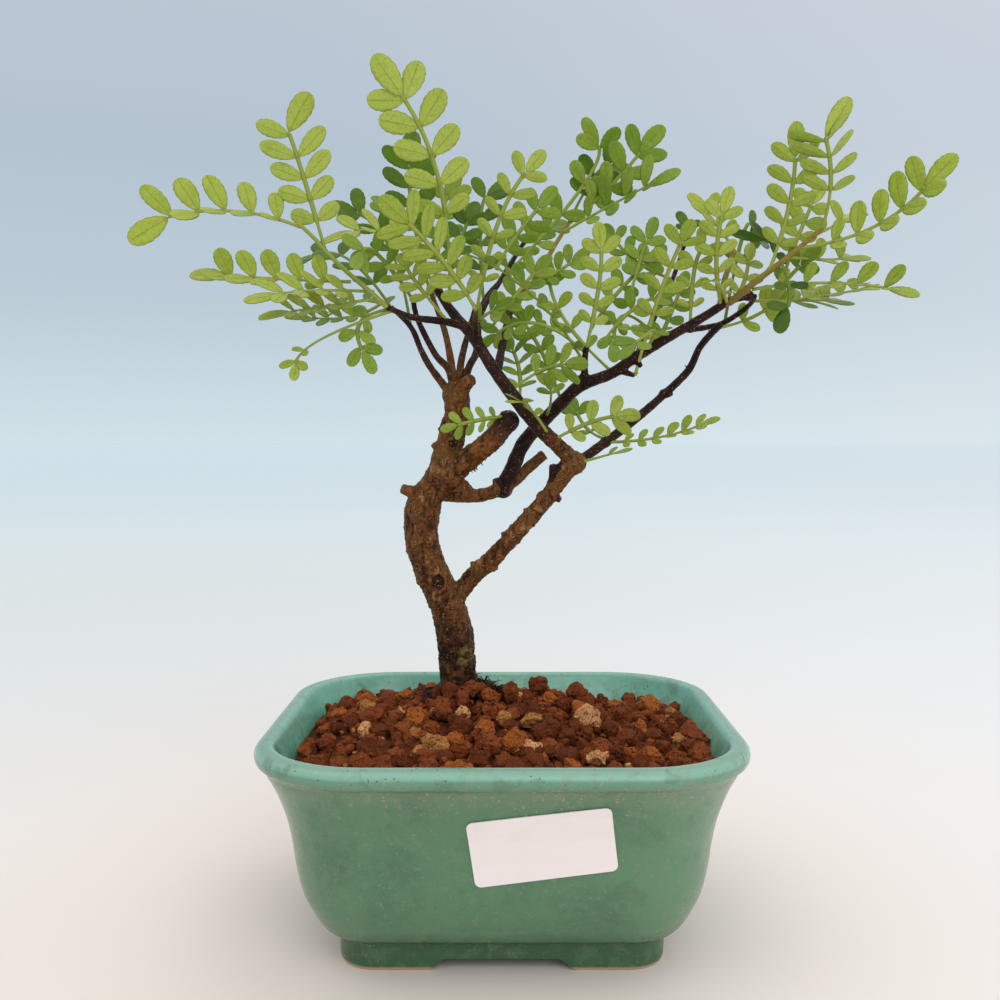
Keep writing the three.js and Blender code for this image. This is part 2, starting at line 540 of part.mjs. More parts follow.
// The whole tree's wood, or the same with room round it
function makeWood(spare) {
  let wood = makeTrunk(spare);
  LIMBS.forEach((limb) => {
    const sides = limb.radii[0] > LIMB_FACETS.stoutFrom ? LIMB_FACETS.stout : LIMB_FACETS.slender;
    wood = wood.add(makeLimb(limb, sides, LIMB_FACETS.step, spare));
  });
  ROOTS.forEach((root) => {
    wood = wood.add(makeLimb(root, ROOT_FACETS.sides, ROOT_FACETS.step, spare));
  });
  return wood;
}

// A compound leaf's stalk and the places of its leaflets
function leafFrame([, base, middle, tip, pairs, size, bare, face]) {
  const [start, through, end] = [base, middle, tip].map((p) => new THREE.Vector3(...p));
  const control = through.clone().multiplyScalar(2).sub(start.clone().add(end).multiplyScalar(0.5));
  const curve = new THREE.QuadraticBezierCurve3(start, control, end);
  const length = curve.getLength();
  const [faceX, faceY, faceZ, lift] = FACES[face];
  const faceWay = new THREE.Vector3(faceX, faceY, faceZ);
  const at = (u) => {
    const along = curve.getTangentAt(u);
    const side = along.clone().cross(faceWay).normalize();
    const normal = side.clone().cross(along).normalize();
    return { centre: curve.getPointAt(u), along, side, normal };
  };
  const last = 1 - END_LEAFLET.behind / length;
  const step = (last - bare) / Math.max(pairs - 1, 1);
  const stations = [];
  for (let k = 0; k < pairs; k += 1) stations.push(pairs > 1 ? bare + step * k : last);
  return { at, length, stations, spacing: step * length, size, lift };
}

// One leaflet as an oval lens: its rim points and its two middles, from its root and direction
function leafletPoints(root, direction, normal, length, width, grow) {
  const across = normal.clone().cross(direction).normalize();
  const point = (u, v, w) => {
    const p = root.clone().addScaledVector(direction, u * length);
    return p.addScaledVector(across, v * width).addScaledVector(normal, w).toArray();
  };
  const { halfThick, droop, widestAt, bluntAt, bluntShare, thickestAt } = LEAFLET;
  const drop = (u) => -droop * length * u * u;
  const wide = 0.5 + grow / width;
  const blunt = wide * bluntShare;
  const end = bluntAt + grow / length;
  const rim = [[widestAt, -wide], [end, -blunt], [end, blunt], [widestAt, wide]];
  return {
    rim: rim.map(([u, v]) => point(u, v, drop(u))),
    top: point(thickestAt, 0, halfThick + grow + drop(thickestAt)),
    under: point(thickestAt, 0, -halfThick - grow + drop(thickestAt)),
  };
}

// Where one leaflet grows: side is -1 for left, 1 for right and 0 for the last one at the tip
function placeLeaflet(frame, k, side, liftDegrees, grow) {
  const last = side === 0;
  const { centre: root, along, side: across, normal } = frame.at(last ? 1 : frame.stations[k]);
  const count = frame.stations.length;
  const share = last ? 1 : k / Math.max(count - 1, 1);
  const swell = Math.sin(Math.PI * (0.05 + 0.55 * share));
  const growth = last ? END_LEAFLET.scale : LEAFLET.shortest + (1 - LEAFLET.shortest) * swell;
  const length = frame.size * growth;
  const lean = THREE.MathUtils.degToRad(LEAFLET.lean + LEAFLET.leanGain * share);
  const room = count > 1 ? frame.spacing * Math.cos(lean) * LEAFLET.reach : length;
  const width = last ? length * END_LEAFLET.widthRatio : Math.min(length * LEAFLET.widthRatio, room);
  const flat = last
    ? along.clone()
    : across.clone().multiplyScalar(side * Math.cos(lean)).addScaledVector(along, Math.sin(lean));
  const lift = THREE.MathUtils.degToRad(liftDegrees);
  const direction = flat.clone().multiplyScalar(Math.cos(lift)).addScaledVector(normal, Math.sin(lift));
  const facing = normal.clone().multiplyScalar(Math.cos(lift)).addScaledVector(flat, -Math.sin(lift));
  return leafletPoints(root, direction, facing, length, width, grow);
}

function stalkPoint({ centre: middle, along, side, normal }, sideways, upward, ahead) {
  return middle.clone().addScaledVector(side, sideways).addScaledVector(normal, upward)
    .addScaledVector(along, ahead).toArray();
}

// The two fans of a leaflet, which share its rim
function addLeaflet(points, faces, top, bottom, rim, leaflet) {
  const topMiddle = points.push(leaflet.top) - 1;
  const lowMiddle = points.push(leaflet.under) - 1;
  const upper = [top, ...rim];
  const lower = [bottom, ...rim];
  upper.forEach((p, i) => faces.push([topMiddle, p, upper[(i + 1) % upper.length]]));
  lower.forEach((p, i) => faces.push([lowMiddle, lower[(i + 1) % lower.length], p]));
}

// A whole leaf as one closed skin. lifts holds one angle for each leaflet, or null where it is left off.
function makeLeaf(frame, lifts) {
  const points = [];
  const faces = [];
  const push = (p) => points.push(p) - 1;
  const { halfWidth, halfHeight, root } = RACHIS;
  const start = frame.at(0);
  let before = {
    top: push(stalkPoint(start, 0, halfHeight, 0)),
    bottom: push(stalkPoint(start, 0, -halfHeight, 0)),
    left: push(stalkPoint(start, -halfWidth, 0, 0)),
    right: push(stalkPoint(start, halfWidth, 0, 0)),
  };
  faces.push([before.left, before.bottom, before.right], [before.left, before.right, before.top]);
  const joinStalk = (next) => {
    const b = before;
    faces.push([b.top, next.top, next.left], [b.top, next.left, b.left]);
    faces.push([b.top, b.right, next.right], [b.top, next.right, next.top]);
    faces.push([b.bottom, next.left, next.bottom], [b.bottom, b.left, next.left]);
    faces.push([b.bottom, next.right, b.right], [b.bottom, next.bottom, next.right]);
  };
  frame.stations.forEach((u, k) => {
    const here = frame.at(u);
    const top = push(stalkPoint(here, 0, halfHeight, 0));
    const bottom = push(stalkPoint(here, 0, -halfHeight, 0));
    const leftBack = push(stalkPoint(here, -halfWidth, 0, -root));
    const rightBack = push(stalkPoint(here, halfWidth, 0, -root));
    const leftAhead = push(stalkPoint(here, -halfWidth, 0, root));
    const rightAhead = push(stalkPoint(here, halfWidth, 0, root));
    joinStalk({ top, bottom, left: leftBack, right: rightBack });
    [[-1, lifts[2 * k]], [1, lifts[2 * k + 1]]].forEach(([side, lift]) => {
      const ends = side < 0 ? [leftAhead, leftBack] : [rightBack, rightAhead];
      if (lift === null) {
        faces.push([top, ends[0], ends[1]], [bottom, ends[1], ends[0]]);
        return;
      }
      const leaflet = placeLeaflet(frame, k, side, lift, 0);
      const rim = leaflet.rim.map(push);
      addLeaflet(points, faces, top, bottom, [ends[0], ...rim, ends[1]], leaflet);
    });
    before = { top, bottom, left: leftAhead, right: rightAhead };
  });
  const end = frame.at(1);
  const final = {
    top: push(stalkPoint(end, 0, halfHeight, 0)),
    bottom: push(stalkPoint(end, 0, -halfHeight, 0)),
    left: push(stalkPoint(end, -halfWidth, 0, 0)),
    right: push(stalkPoint(end, halfWidth, 0, 0)),
  };
  joinStalk(final);
  const lastLift = lifts[lifts.length - 1];
  if (lastLift === null) {
    faces.push([final.left, final.right, final.bottom], [final.left, final.top, final.right]);
  } else {
    const leaflet = placeLeaflet(frame, 0, 0, lastLift, 0);
    const rim = [final.right, ...leaflet.rim.map(push), final.left];
    addLeaflet(points, faces, final.top, final.bottom, rim, leaflet);
  }
  return solidFrom(points, faces);
}

// A single leaflet with some room round it, to test a place before it is taken
function makeProbe(frame, k, side, lift) {
  const leaflet = placeLeaflet(frame, k, side, lift, GAP);
  const here = frame.at(side === 0 ? 1 : frame.stations[k]);
  const points = [];
  const faces = [];
  const push = (p) => points.push(p) - 1;
  const root = RACHIS.root + GAP;
  const top = push(stalkPoint(here, 0, RACHIS.halfHeight + GAP, 0));
  const bottom = push(stalkPoint(here, 0, -RACHIS.halfHeight - GAP, 0));
  const sideways = side * RACHIS.halfWidth;
  const ends = side === 0
    ? [push(stalkPoint(here, root, 0, 0)), push(stalkPoint(here, -root, 0, 0))]
    : [push(stalkPoint(here, sideways, 0, -root * side)), push(stalkPoint(here, sideways, 0, root * side))];
  addLeaflet(points, faces, top, bottom, [ends[0], ...leaflet.rim.map(push), ends[1]], leaflet);
  faces.push([top, ends[1], ends[0]], [bottom, ends[0], ends[1]]);
  return solidFrom(points, faces);
}

function boxesMeet(a, b) {
  const [one, two] = [a.boundingBox(), b.boundingBox()];
  return [0, 1, 2].every((i) => one.min[i] < two.max[i] && two.min[i] < one.max[i]);
}

function meets(a, b) {
  return boxesMeet(a, b) && a.intersect(b).volume() > 0.001;
}

// Leaflets turn up or down on their stalk where their first place is taken, or are left off where none is free
function growLeaf(entry, obstacles, wood) {
  const frame = leafFrame(entry);
  const choose = (k, side, base) => {
    for (const turn of LIFT_TRIES) {
      const probe = makeProbe(frame, k, side, base + turn);
      if (!meets(probe, wood) && !obstacles.some((other) => meets(probe, other))) return base + turn;
    }
    return null;
  };
  const lifts = [];
  frame.stations.forEach((u, k) => {
    const wave = (scatter(k + entry[1][0], entry[3][2]) - 0.5) * LIFT_WAVE;
    lifts.push(choose(k, -1, frame.lift + wave), choose(k, 1, frame.lift - wave));
  });
  lifts.push(choose(0, 0, 0));
  return makeLeaf(frame, lifts);
}

const materials = {
  pot: new THREE.MeshStandardMaterial({ color: '#4d9480', roughness: 0.35, metalness: 0 }),
  soil: new THREE.MeshStandardMaterial({ color: '#7a4128', roughness: 0.95, metalness: 0 }),
  wood: new THREE.MeshStandardMaterial({ color: '#5e3d26', roughness: 0.85, metalness: 0 }),
  label: new THREE.MeshStandardMaterial({ color: '#e9e2e4', roughness: 0.5, metalness: 0 }),
  screen: new THREE.MeshStandardMaterial({ color: '#2b2b2b', roughness: 0.7, metalness: 0 }),
};
const leafMaterials = {};
Object.entries(GREENS).forEach(([age, color]) => {
  leafMaterials[age] = new THREE.MeshStandardMaterial({ color, roughness: 0.5, metalness: 0 });
});

const bonsai = new THREE.Group();
const wood = makeWood(0);
const woodWithClearance = makeWood(GAP);
bonsai.add(piece('pot', makePot(), materials.pot));
bonsai.add(piece('soil', makeSoil(woodWithClearance), materials.soil));
bonsai.add(piece('tree', wood, materials.wood));
bonsai.add(piece('blank_label', makeLabel(), materials.label));
bonsai.add(piece('drain_screen_left', makeScreen(-DRAIN_SPACING / 2, 0), materials.screen));
bonsai.add(piece('drain_screen_right', makeScreen(DRAIN_SPACING / 2, 0), materials.screen));

// The young shoot at the left carries its leaves in one piece
const grown = [];
let shoot = makeLimb(LEFT_SHOOT, ROOT_FACETS.sides, ROOT_FACETS.step, 0);
const shootLeaves = [];
SHOOT_LEAVES.forEach((entry) => {
  const leaf = growLeaf(entry, shootLeaves, woodWithClearance);
  shootLeaves.push(leaf);
  shoot = shoot.add(leaf);
});
shoot = largestBody(shoot.subtract(woodWithClearance));
grown.push(shoot);
bonsai.add(piece('shoot_left', shoot, leafMaterials.young));

LEAVES.forEach((entry) => {
  const leaf = largestBody(growLeaf(entry, grown, woodWithClearance).subtract(woodWithClearance));
  grown.push(leaf);
  bonsai.add(piece(`leaf_${entry[0]}`, leaf, leafMaterials[entry[8]]));
});

// The middle of the whole box stands over the origin
const extent = new THREE.Box3().setFromObject(bonsai);
const middle = extent.getCenter(new THREE.Vector3());
bonsai.position.set(-middle.x, -middle.y, -extent.min.z);

export default bonsai;
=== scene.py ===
import math
import random

import bmesh
import bpy
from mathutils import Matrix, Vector, kdtree, noise


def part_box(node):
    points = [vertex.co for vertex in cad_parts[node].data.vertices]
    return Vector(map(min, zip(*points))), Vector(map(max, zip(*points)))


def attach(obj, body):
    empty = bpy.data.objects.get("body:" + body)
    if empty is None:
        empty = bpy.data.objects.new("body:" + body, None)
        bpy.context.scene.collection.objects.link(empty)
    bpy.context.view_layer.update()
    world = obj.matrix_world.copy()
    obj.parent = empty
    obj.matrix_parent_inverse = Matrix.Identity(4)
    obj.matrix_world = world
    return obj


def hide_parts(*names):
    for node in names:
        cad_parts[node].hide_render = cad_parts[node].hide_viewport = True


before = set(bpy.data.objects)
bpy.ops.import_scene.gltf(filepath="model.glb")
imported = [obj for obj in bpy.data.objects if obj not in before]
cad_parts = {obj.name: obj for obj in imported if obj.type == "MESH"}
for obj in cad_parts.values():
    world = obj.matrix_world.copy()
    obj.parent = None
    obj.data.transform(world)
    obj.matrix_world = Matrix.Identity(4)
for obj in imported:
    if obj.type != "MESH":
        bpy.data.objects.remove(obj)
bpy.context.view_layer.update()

# Camera. It stands in front of the tree and looks down on the pot's rim from a little above it.
# Every place below is in millimetres from the middle of the pot's foot, with the front towards -Y.
MM = 0.001
POT_LOW, POT_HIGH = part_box("pot")
POT_MIDDLE = (POT_LOW + POT_HIGH) / 2
CAMERA_PLACE = (-0.7, -386.9, 168.7)
CAMERA_DIP = 3.04
FOCAL_SHARE = 1.1
SENSOR = 36


def place(x, y, z):
    return Vector((POT_MIDDLE.x + x * MM, POT_MIDDLE.y + y * MM, z * MM))


camera = bpy.data.objects.new("camera", bpy.data.cameras.new("camera"))
camera.data.sensor_width = SENSOR
camera.data.lens = SENSOR * FOCAL_SHARE
camera.data.clip_start = 0.01
camera.data.clip_end = 200
camera.location = place(*CAMERA_PLACE)
camera.rotation_euler = (math.radians(90 - CAMERA_DIP), 0, 0)
bpy.context.collection.objects.link(camera)
bpy.context.scene.camera = camera
bpy.context.scene.view_settings.view_transform = "Standard"

# Pot. One slip-cast stoneware body: a rounded rectangle on a plinth foot, flared under a rolled lip.
# The glaze is a satin sea green, thinner and paler on the lip, with pinkish pits and pepper specks.
RIM_WIDTH = 160
RIM_DEPTH = 142.7
RIM_CORNER = 38
CORNER_EASE = 0.95
CORNER_STEPS = 14
SIDE_STEPS = 10
FOOT_WALL = 9
FOOT_RECESS = 6
FLOOR_Z = 12
ARCH_HEIGHT = 4
ARCH_WIDTH = 42
END_ARCH_WIDTH = 36
ARCH_SLOPE = 7
ARCH_STEPS = 8
DRAIN_RADIUS = 6
DRAIN_SIDES = 40
DRAIN_SPACING = 44
SOFT_EDGE = 0.7
SOFT_ANGLE = 50
OUTER_WALL = [
    (28, 0), (27, 1.2), (26.6, 8), (25.5, 9.6), (21.5, 12), (17.8, 17.5), (14.8, 24), (12.9, 32),
    (11.6, 41), (9.8, 49), (6.9, 57), (4, 62.6), (2.6, 65.4), (0.7, 66.8), (0, 69),
]
LIP_TOP = [(0.5, 71), (2.2, 72.4), (4.2, 72.6), (6, 71.8)]
INNER_WALL = [(7.6, 68.5), (10.4, 62), (14, 53), (17, 42), (19, 30), (21.5, 21), (26, 15), (33, FLOOR_Z)]
GLAZE_DEEP = (0.052, 0.150, 0.078)
GLAZE_BODY = (0.086, 0.212, 0.108)
GLAZE_FOOT_SHADE = (0.026, 0.092, 0.030)
GLAZE_INNER = (0.165, 0.500, 0.360)
GLAZE_SHADE = (0.105, 0.375, 0.255)
GLAZE_VEIL = (0.200, 0.240, 0.150)
GLAZE_LIP = (0.128, 0.305, 0.212)
GLAZE_HIGHLIGHT = (0.235, 0.455, 0.330)
GLAZE_PAINTED_LIGHT = (0.150, 0.300, 0.168)
GLAZE_THIN = (0.290, 0.440, 0.330)
GLAZE_PIT = (0.380, 0.300, 0.240)
PEPPER = (0.040, 0.060, 0.045)
BARE_CLAY = (0.560, 0.380, 0.230)
# The pale veil under the lip: its height, and its spread and strength at the left and the right
VEIL_Z = 64.5
VEIL_SPREAD = (4, 5.5)
VEIL_SHARE = (0.45, 0.95)
VEIL_REACH = 60
# How far to the right of the middle the painted light starts and ends, which turns the glaze paler towards the
# right end
PAINTED_LIGHT_FADE = (30, 66)
# Heights, in metres, over which painted shade darkens the foot under the body's overhang, the glaze lightens
# on the lip with a painted highlight band along it, and the glaze ends above the bare foot
FOOT_SHADE_FADE = (0.0170, 0.0095)
LIP_FADE = (0.0655, 0.0690)
HIGHLIGHT_RISE = (0.0692, 0.0703)
HIGHLIGHT_FALL = (0.0726, 0.0712)
CREST_FADE = (0.0712, 0.0726)
CLAY_FADE = (0.0016, 0.0004)
# How fine the glaze's flecks are, and their cover, and for the pepper specks their share and spread too
BLUSH = (260.0, 0.45)
PITS = (760.0, 0.365)
FINE_PITS = (1500.0, 0.36)
SMOKE = (110.0, 0.40)
PEPPER_SPECKS = (800.0, 0.10, 0.24)


def clamp(value):
    return min(max(value, 0), 1)


def rise_between(value, low, high):
    """0 below low, 1 above high, and straight between."""
    return clamp((value - low) / (high - low))


def smooth_path(points, steps):
    """A curve through the points, with the same number of steps between each two."""
    ends = [points[0], *points, points[-1]]
    path = []
    for a, b, c, d in zip(ends, ends[1:], ends[2:], ends[3:]):
        for step in range(steps):
            t = step / steps
            path.append(tuple(
                0.5 * (2 * q + (r - p) * t + (2 * p - 5 * q + 4 * r - s) * t * t
                       + (3 * q - p - 3 * r + s) * t ** 3)
                for p, q, r, s in zip(a, b, c, d)))
    return [*path, tuple(points[-1])]


def pot_sides(inset):
    """Half the pot's width and depth, and the radius of its corners, at one inset from the rim."""
    return RIM_WIDTH / 2 - inset, RIM_DEPTH / 2 - inset, RIM_CORNER - inset * CORNER_EASE


def pot_ring(inset, z):
    """The pot's outline at one inset from the rim, counter-clockwise seen from above."""
    half_x, half_y, corner = pot_sides(inset)
    ring = []
    for quarter, (sign_x, sign_y) in enumerate(((1, 1), (-1, 1), (-1, -1), (1, -1))):
        for step in range(CORNER_STEPS + 1):
            angle = math.radians(90 * (quarter + step / CORNER_STEPS))
            ring.append(Vector((sign_x * (half_x - corner) + corner * math.cos(angle),
                                sign_y * (half_y - corner) + corner * math.sin(angle), z)))
    full = []
    for here, after in zip(ring, ring[1:] + ring[:1]):
        gap = (after - here).length
        parts = SIDE_STEPS if gap > 2 * corner * math.pi / CORNER_STEPS else 1
        full += [here.lerp(after, part / parts) for part in range(parts)]
    return full


def wall_inset(z):
    """How far the outside of the wall stands in from the rim at one height."""
    for (inset_a, z_a), (inset_b, z_b) in zip(OUTER_WALL, OUTER_WALL[1:]):
        if z_a <= z <= z_b:
            return inset_a + (inset_b - inset_a) * (z - z_a) / (z_b - z_a)
    return OUTER_WALL[-1][0]


def skin(rings):
    """Vertices and faces of a closed skin over rings of points."""
    count = len(rings[0])
    verts = [tuple(p) for ring in rings for p in ring]
    faces = []
    for start in range(0, len(verts) - count, count):
        for i in range(count):
            a, b = start + i, start + (i + 1) % count
            faces.append((a, b, b + count, a + count))
    faces.append(tuple(reversed(range(count))))
    faces.append(tuple(range(len(verts) - count, len(verts))))
    return verts, faces


def solid(name, verts, faces, smooth=True):
    """A mesh object from points in millimetres."""
    mesh = bpy.data.meshes.new(name)
    mesh.from_pydata([place(*v) for v in verts], [], faces)
    mesh.update()
    if smooth:
        mesh.shade_smooth()
    made = bpy.data.objects.new(name, mesh)
    bpy.context.collection.objects.link(made)
    return made


def apply_modifiers(made):
    """The object's mesh takes the shape that its modifiers give it."""
    graph = bpy.context.evaluated_depsgraph_get()
    shaped = bpy.data.meshes.new_from_object(made.evaluated_get(graph))
    made.modifiers.clear()
    made.data = shaped


def cut_away(made, cutters):
    for cutter in cutters:
        boolean = made.modifiers.new("cut", "BOOLEAN")
        boolean.object = cutter
        boolean.operation = "DIFFERENCE"
        boolean.solver = "EXACT"
    apply_modifiers(made)
    for cutter in cutters:
        bpy.data.objects.remove(cutter)


def foot_arch(name, width, along_x):
    """The low arch cut under two sides of the foot, with ends that ease in an S."""
    outline = [(-width / 2 - ARCH_SLOPE, -1)]
    for step in range(ARCH_STEPS + 1):
        share = step / ARCH_STEPS
        rise = ARCH_HEIGHT * (3 * share ** 2 - 2 * share ** 3)
        outline.append((-width / 2 - ARCH_SLOPE / 2 + ARCH_SLOPE * share, rise))
    outline += [(-x, z) for x, z in reversed(outline)]
    near, far = [[(x, side * RIM_WIDTH / 2, z) for x, z in outline] for side in (-1, 1)]
    rings = [near, far]
    if along_x:
        rings = [[(-y, x, z) for x, y, z in ring] for ring in rings]
    return solid(name, *skin(rings))


def drain_cutter(name, x):
    turns = [i * math.tau / DRAIN_SIDES for i in range(DRAIN_SIDES)]
    circle = [(x + DRAIN_RADIUS * math.cos(turn), DRAIN_RADIUS * math.sin(turn)) for turn in turns]
    return solid(name, *skin([[(*spot, z) for spot in circle] for z in (0, 2 * FLOOR_Z)]))


def new_group(name, inputs, outputs):
    """A shader node group with named inputs (kind, start value) and outputs."""
    group = bpy.data.node_groups.new(name, "ShaderNodeTree")
    for label, (kind, value) in inputs.items():
        socket = group.interface.new_socket(label, in_out="INPUT", socket_type=kind)
        socket.default_value = value
    for label, kind in outputs.items():
        group.interface.new_socket(label, in_out="OUTPUT", socket_type=kind)
    ends = group.nodes.new("NodeGroupInput"), group.nodes.new("NodeGroupOutput")
    return group, ends[0].outputs, ends[1].inputs


def feed(tree, socket, value):
    """Links a socket to another one, or gives it a value or a colour."""
    if isinstance(value, bpy.types.NodeSocket):
        tree.links.new(value, socket)
    else:
        socket.default_value = (*value, 1) if socket.type == "RGBA" else value


def node(tree, kind, settings=None, **values):
    """A shader node with its settings, and its inputs by name, each a value or a socket to link."""
    made = tree.nodes.new(kind)
    for label, value in (settings or {}).items():
        setattr(made, label, value)
    for label, value in values.items():
        feed(tree, made.inputs[label.replace("_", " ")], value)
    return made


def maths(tree, kind, *values):
    made = node(tree, "ShaderNodeMath", {"operation": kind})
    for socket, value in zip(made.inputs, values):
        feed(tree, socket, value)
    return made.outputs[0]


def times(tree, first, *others):
    """Masks and amounts multiplied together."""
    for other in others:
        first = maths(tree, "MULTIPLY", first, other)
    return first


def ramp(tree, factor, low, high):
    """0 below low and 1 above high, with a smooth step between."""
    return node(tree, "ShaderNodeMapRange", {"interpolation_type": "SMOOTHSTEP"},
                From_Min=low, From_Max=high, Value=factor).outputs[0]


def layered(tree, surface, *layers):
    """Lays colours over a surface in turn, each as far as all of its masks and amounts together say."""
    for over, *masks in layers:
        mix = node(tree, "ShaderNodeMix", {"data_type": "RGBA"})
        for index, value in ((0, times(tree, *masks)), (6, surface), (7, over)):
            feed(tree, mix.inputs[index], value)
        surface = mix.outputs[2]
    return surface


def new_material(name, roughness, **settings):
    """A material with a Principled shader, whose uniform values are set on its own sockets."""
    material = bpy.data.materials.new(name)
    material.use_nodes = True
    tree = material.node_tree
    shader = tree.nodes["Principled BSDF"]
    for label, value in {"Roughness": roughness, **settings}.items():
        shader.inputs[label.replace("_", " ")].default_value = value
    return material, tree, shader, node(tree, "ShaderNodeTexCoord").outputs["Object"]


def finish(tree, shader, surface, height=None, strength=0, distance=0):
    """Gives the shader its colour, and a bump where there is a height."""
    tree.links.new(surface, shader.inputs["Base Color"])
    if height is not None:
        made = node(tree, "ShaderNodeBump", Strength=strength, Distance=distance, Height=height)
        tree.links.new(made.outputs[0], shader.inputs["Normal"])


def vary_roughness(tree, shader, factor, start, end):
    made = node(tree, "ShaderNodeMapRange", To_Min=start, To_Max=end, Value=factor)
    tree.links.new(made.outputs[0], shader.inputs["Roughness"])


# Mottling is soft clouds of a second colour with a fine grain in them, on glaze, bark, soil and leaves alike.
mottling, given, results = new_group(
    "Mottling",
    {"Place": ("NodeSocketVector", (0, 0, 0)), "Colour": ("NodeSocketColor", (1, 1, 1, 1)),
     "Clouds": ("NodeSocketColor", (0, 0, 0, 1)), "Size": ("NodeSocketFloat", 100),
     "Grain": ("NodeSocketFloat", 900), "Cover": ("NodeSocketFloat", 0.5)},
    {"Colour": "NodeSocketColor", "Mask": "NodeSocketFloat", "Height": "NodeSocketFloat"})
clouds = node(mottling, "ShaderNodeTexNoise", Vector=given["Place"], Scale=given["Size"],
              Detail=4.0, Roughness=0.6).outputs[0]
grain = node(mottling, "ShaderNodeTexNoise", Vector=given["Place"], Scale=given["Grain"],
             Detail=3.0).outputs[0]
GRAIN_SHARE = 0.35
height = maths(mottling, "MULTIPLY_ADD", grain, GRAIN_SHARE, clouds)
mask = ramp(mottling, maths(mottling, "ADD", height, given["Cover"]), 1.0, 1.4)
mottling.links.new(layered(mottling, given["Colour"], (given["Clouds"], mask)), results["Colour"])
mottling.links.new(mask, results["Mask"])
mottling.links.new(height, results["Height"])

# Specks are small separate spots, thrown by cells of which only some are kept.
specks, given, results = new_group(
    "Specks",
    {"Place": ("NodeSocketVector", (0, 0, 0)), "Size": ("NodeSocketFloat", 400),
     "Share": ("NodeSocketFloat", 0.2), "Spread": ("NodeSocketFloat", 0.25)},
    {"Mask": "NodeSocketFloat"})
cells = node(specks, "ShaderNodeTexVoronoi", Vector=given["Place"], Scale=given["Size"]).outputs
chosen = node(specks, "ShaderNodeSeparateColor", Color=cells["Color"]).outputs[0]
kept = maths(specks, "LESS_THAN", chosen, given["Share"])
spot = ramp(specks, maths(specks, "DIVIDE", cells["Distance"], given["Spread"]), 1.0, 0.6)
specks.links.new(times(specks, kept, spot), results["Mask"])

# Flecks are small ragged patches where a finish is thin, chipped or crusted.
ragged, given, results = new_group(
    "Flecks",
    {"Place": ("NodeSocketVector", (0, 0, 0)), "Size": ("NodeSocketFloat", 400),
     "Cover": ("NodeSocketFloat", 0.35)},
    {"Mask": "NodeSocketFloat"})
cloud = node(ragged, "ShaderNodeTexNoise", Vector=given["Place"], Scale=given["Size"],
             Detail=3.0, Roughness=0.55).outputs[0]
ragged.links.new(ramp(ragged, maths(ragged, "ADD", cloud, given["Cover"]), 0.98, 1.06), results["Mask"])


def mottle(tree, where, first, second, size, grain_size, cover):
    return node(tree, "ShaderNodeGroup", {"node_tree": mottling}, Place=where, Colour=first,
                Clouds=second, Size=size, Grain=grain_size, Cover=cover).outputs


def speckle(tree, where, size, share, spread):
    return node(tree, "ShaderNodeGroup", {"node_tree": specks}, Place=where, Size=size,
                Share=share, Spread=spread).outputs["Mask"]


def flecks(tree, where, size, cover):
    return node(tree, "ShaderNodeGroup", {"node_tree": ragged}, Place=where, Size=size,
                Cover=cover).outputs["Mask"]


def attribute(tree, name):
    return node(tree, "ShaderNodeAttribute", {"attribute_name": name}).outputs["Fac"]


def store(made, name, values):
    """Keeps one number for each vertex, which the material reads by its name."""
    made.data.attributes.new(name, "FLOAT", "POINT").data.foreach_set("value", values)


wall = smooth_path([*OUTER_WALL, *LIP_TOP, *INNER_WALL], 4)
wall_rings = [pot_ring(inset, z) for inset, z in wall]
pot = solid("glazed_pot", *skin(wall_rings))
foot_inset = OUTER_WALL[0][0] + FOOT_WALL
cut_away(pot, [
    solid("recess", *skin([pot_ring(foot_inset, -1), pot_ring(foot_inset, FOOT_RECESS)])),
    foot_arch("arch_front", ARCH_WIDTH, False),
    foot_arch("arch_side", END_ARCH_WIDTH, True),
    drain_cutter("drain_left", -DRAIN_SPACING / 2),
    drain_cutter("drain_right", DRAIN_SPACING / 2),
])
soften = pot.modifiers.new("soften", "BEVEL")
soften.width = SOFT_EDGE * MM
soften.segments = 3
soften.limit_method = "ANGLE"
soften.angle_limit = math.radians(SOFT_ANGLE)
apply_modifiers(pot)
pot.data.shade_smooth()

inside, veil, painted_light = [], [], []
for vert in pot.data.vertices:
    out = Vector((vert.co.x - POT_MIDDLE.x, vert.co.y - POT_MIDDLE.y, 0)).normalized()
    inside.append(clamp(0.5 - 1.5 * vert.normal.dot(out)) if vert.co.z > (FLOOR_Z + 1) * MM else 0)
    x, z = (vert.co.x - POT_MIDDLE.x) / MM, vert.co.z / MM
    right = rise_between(x, -VEIL_REACH, VEIL_REACH)
    spread = VEIL_SPREAD[0] + (VEIL_SPREAD[1] - VEIL_SPREAD[0]) * right
    strength = VEIL_SHARE[0] + (VEIL_SHARE[1] - VEIL_SHARE[0]) * right
    veil.append(strength * math.exp(-((z - VEIL_Z) / spread) ** 2))
    painted_light.append(rise_between(x, *PAINTED_LIGHT_FADE))
for name, values in (("inside", inside), ("veil", veil), ("painted_light", painted_light)):
    store(pot, name, values)

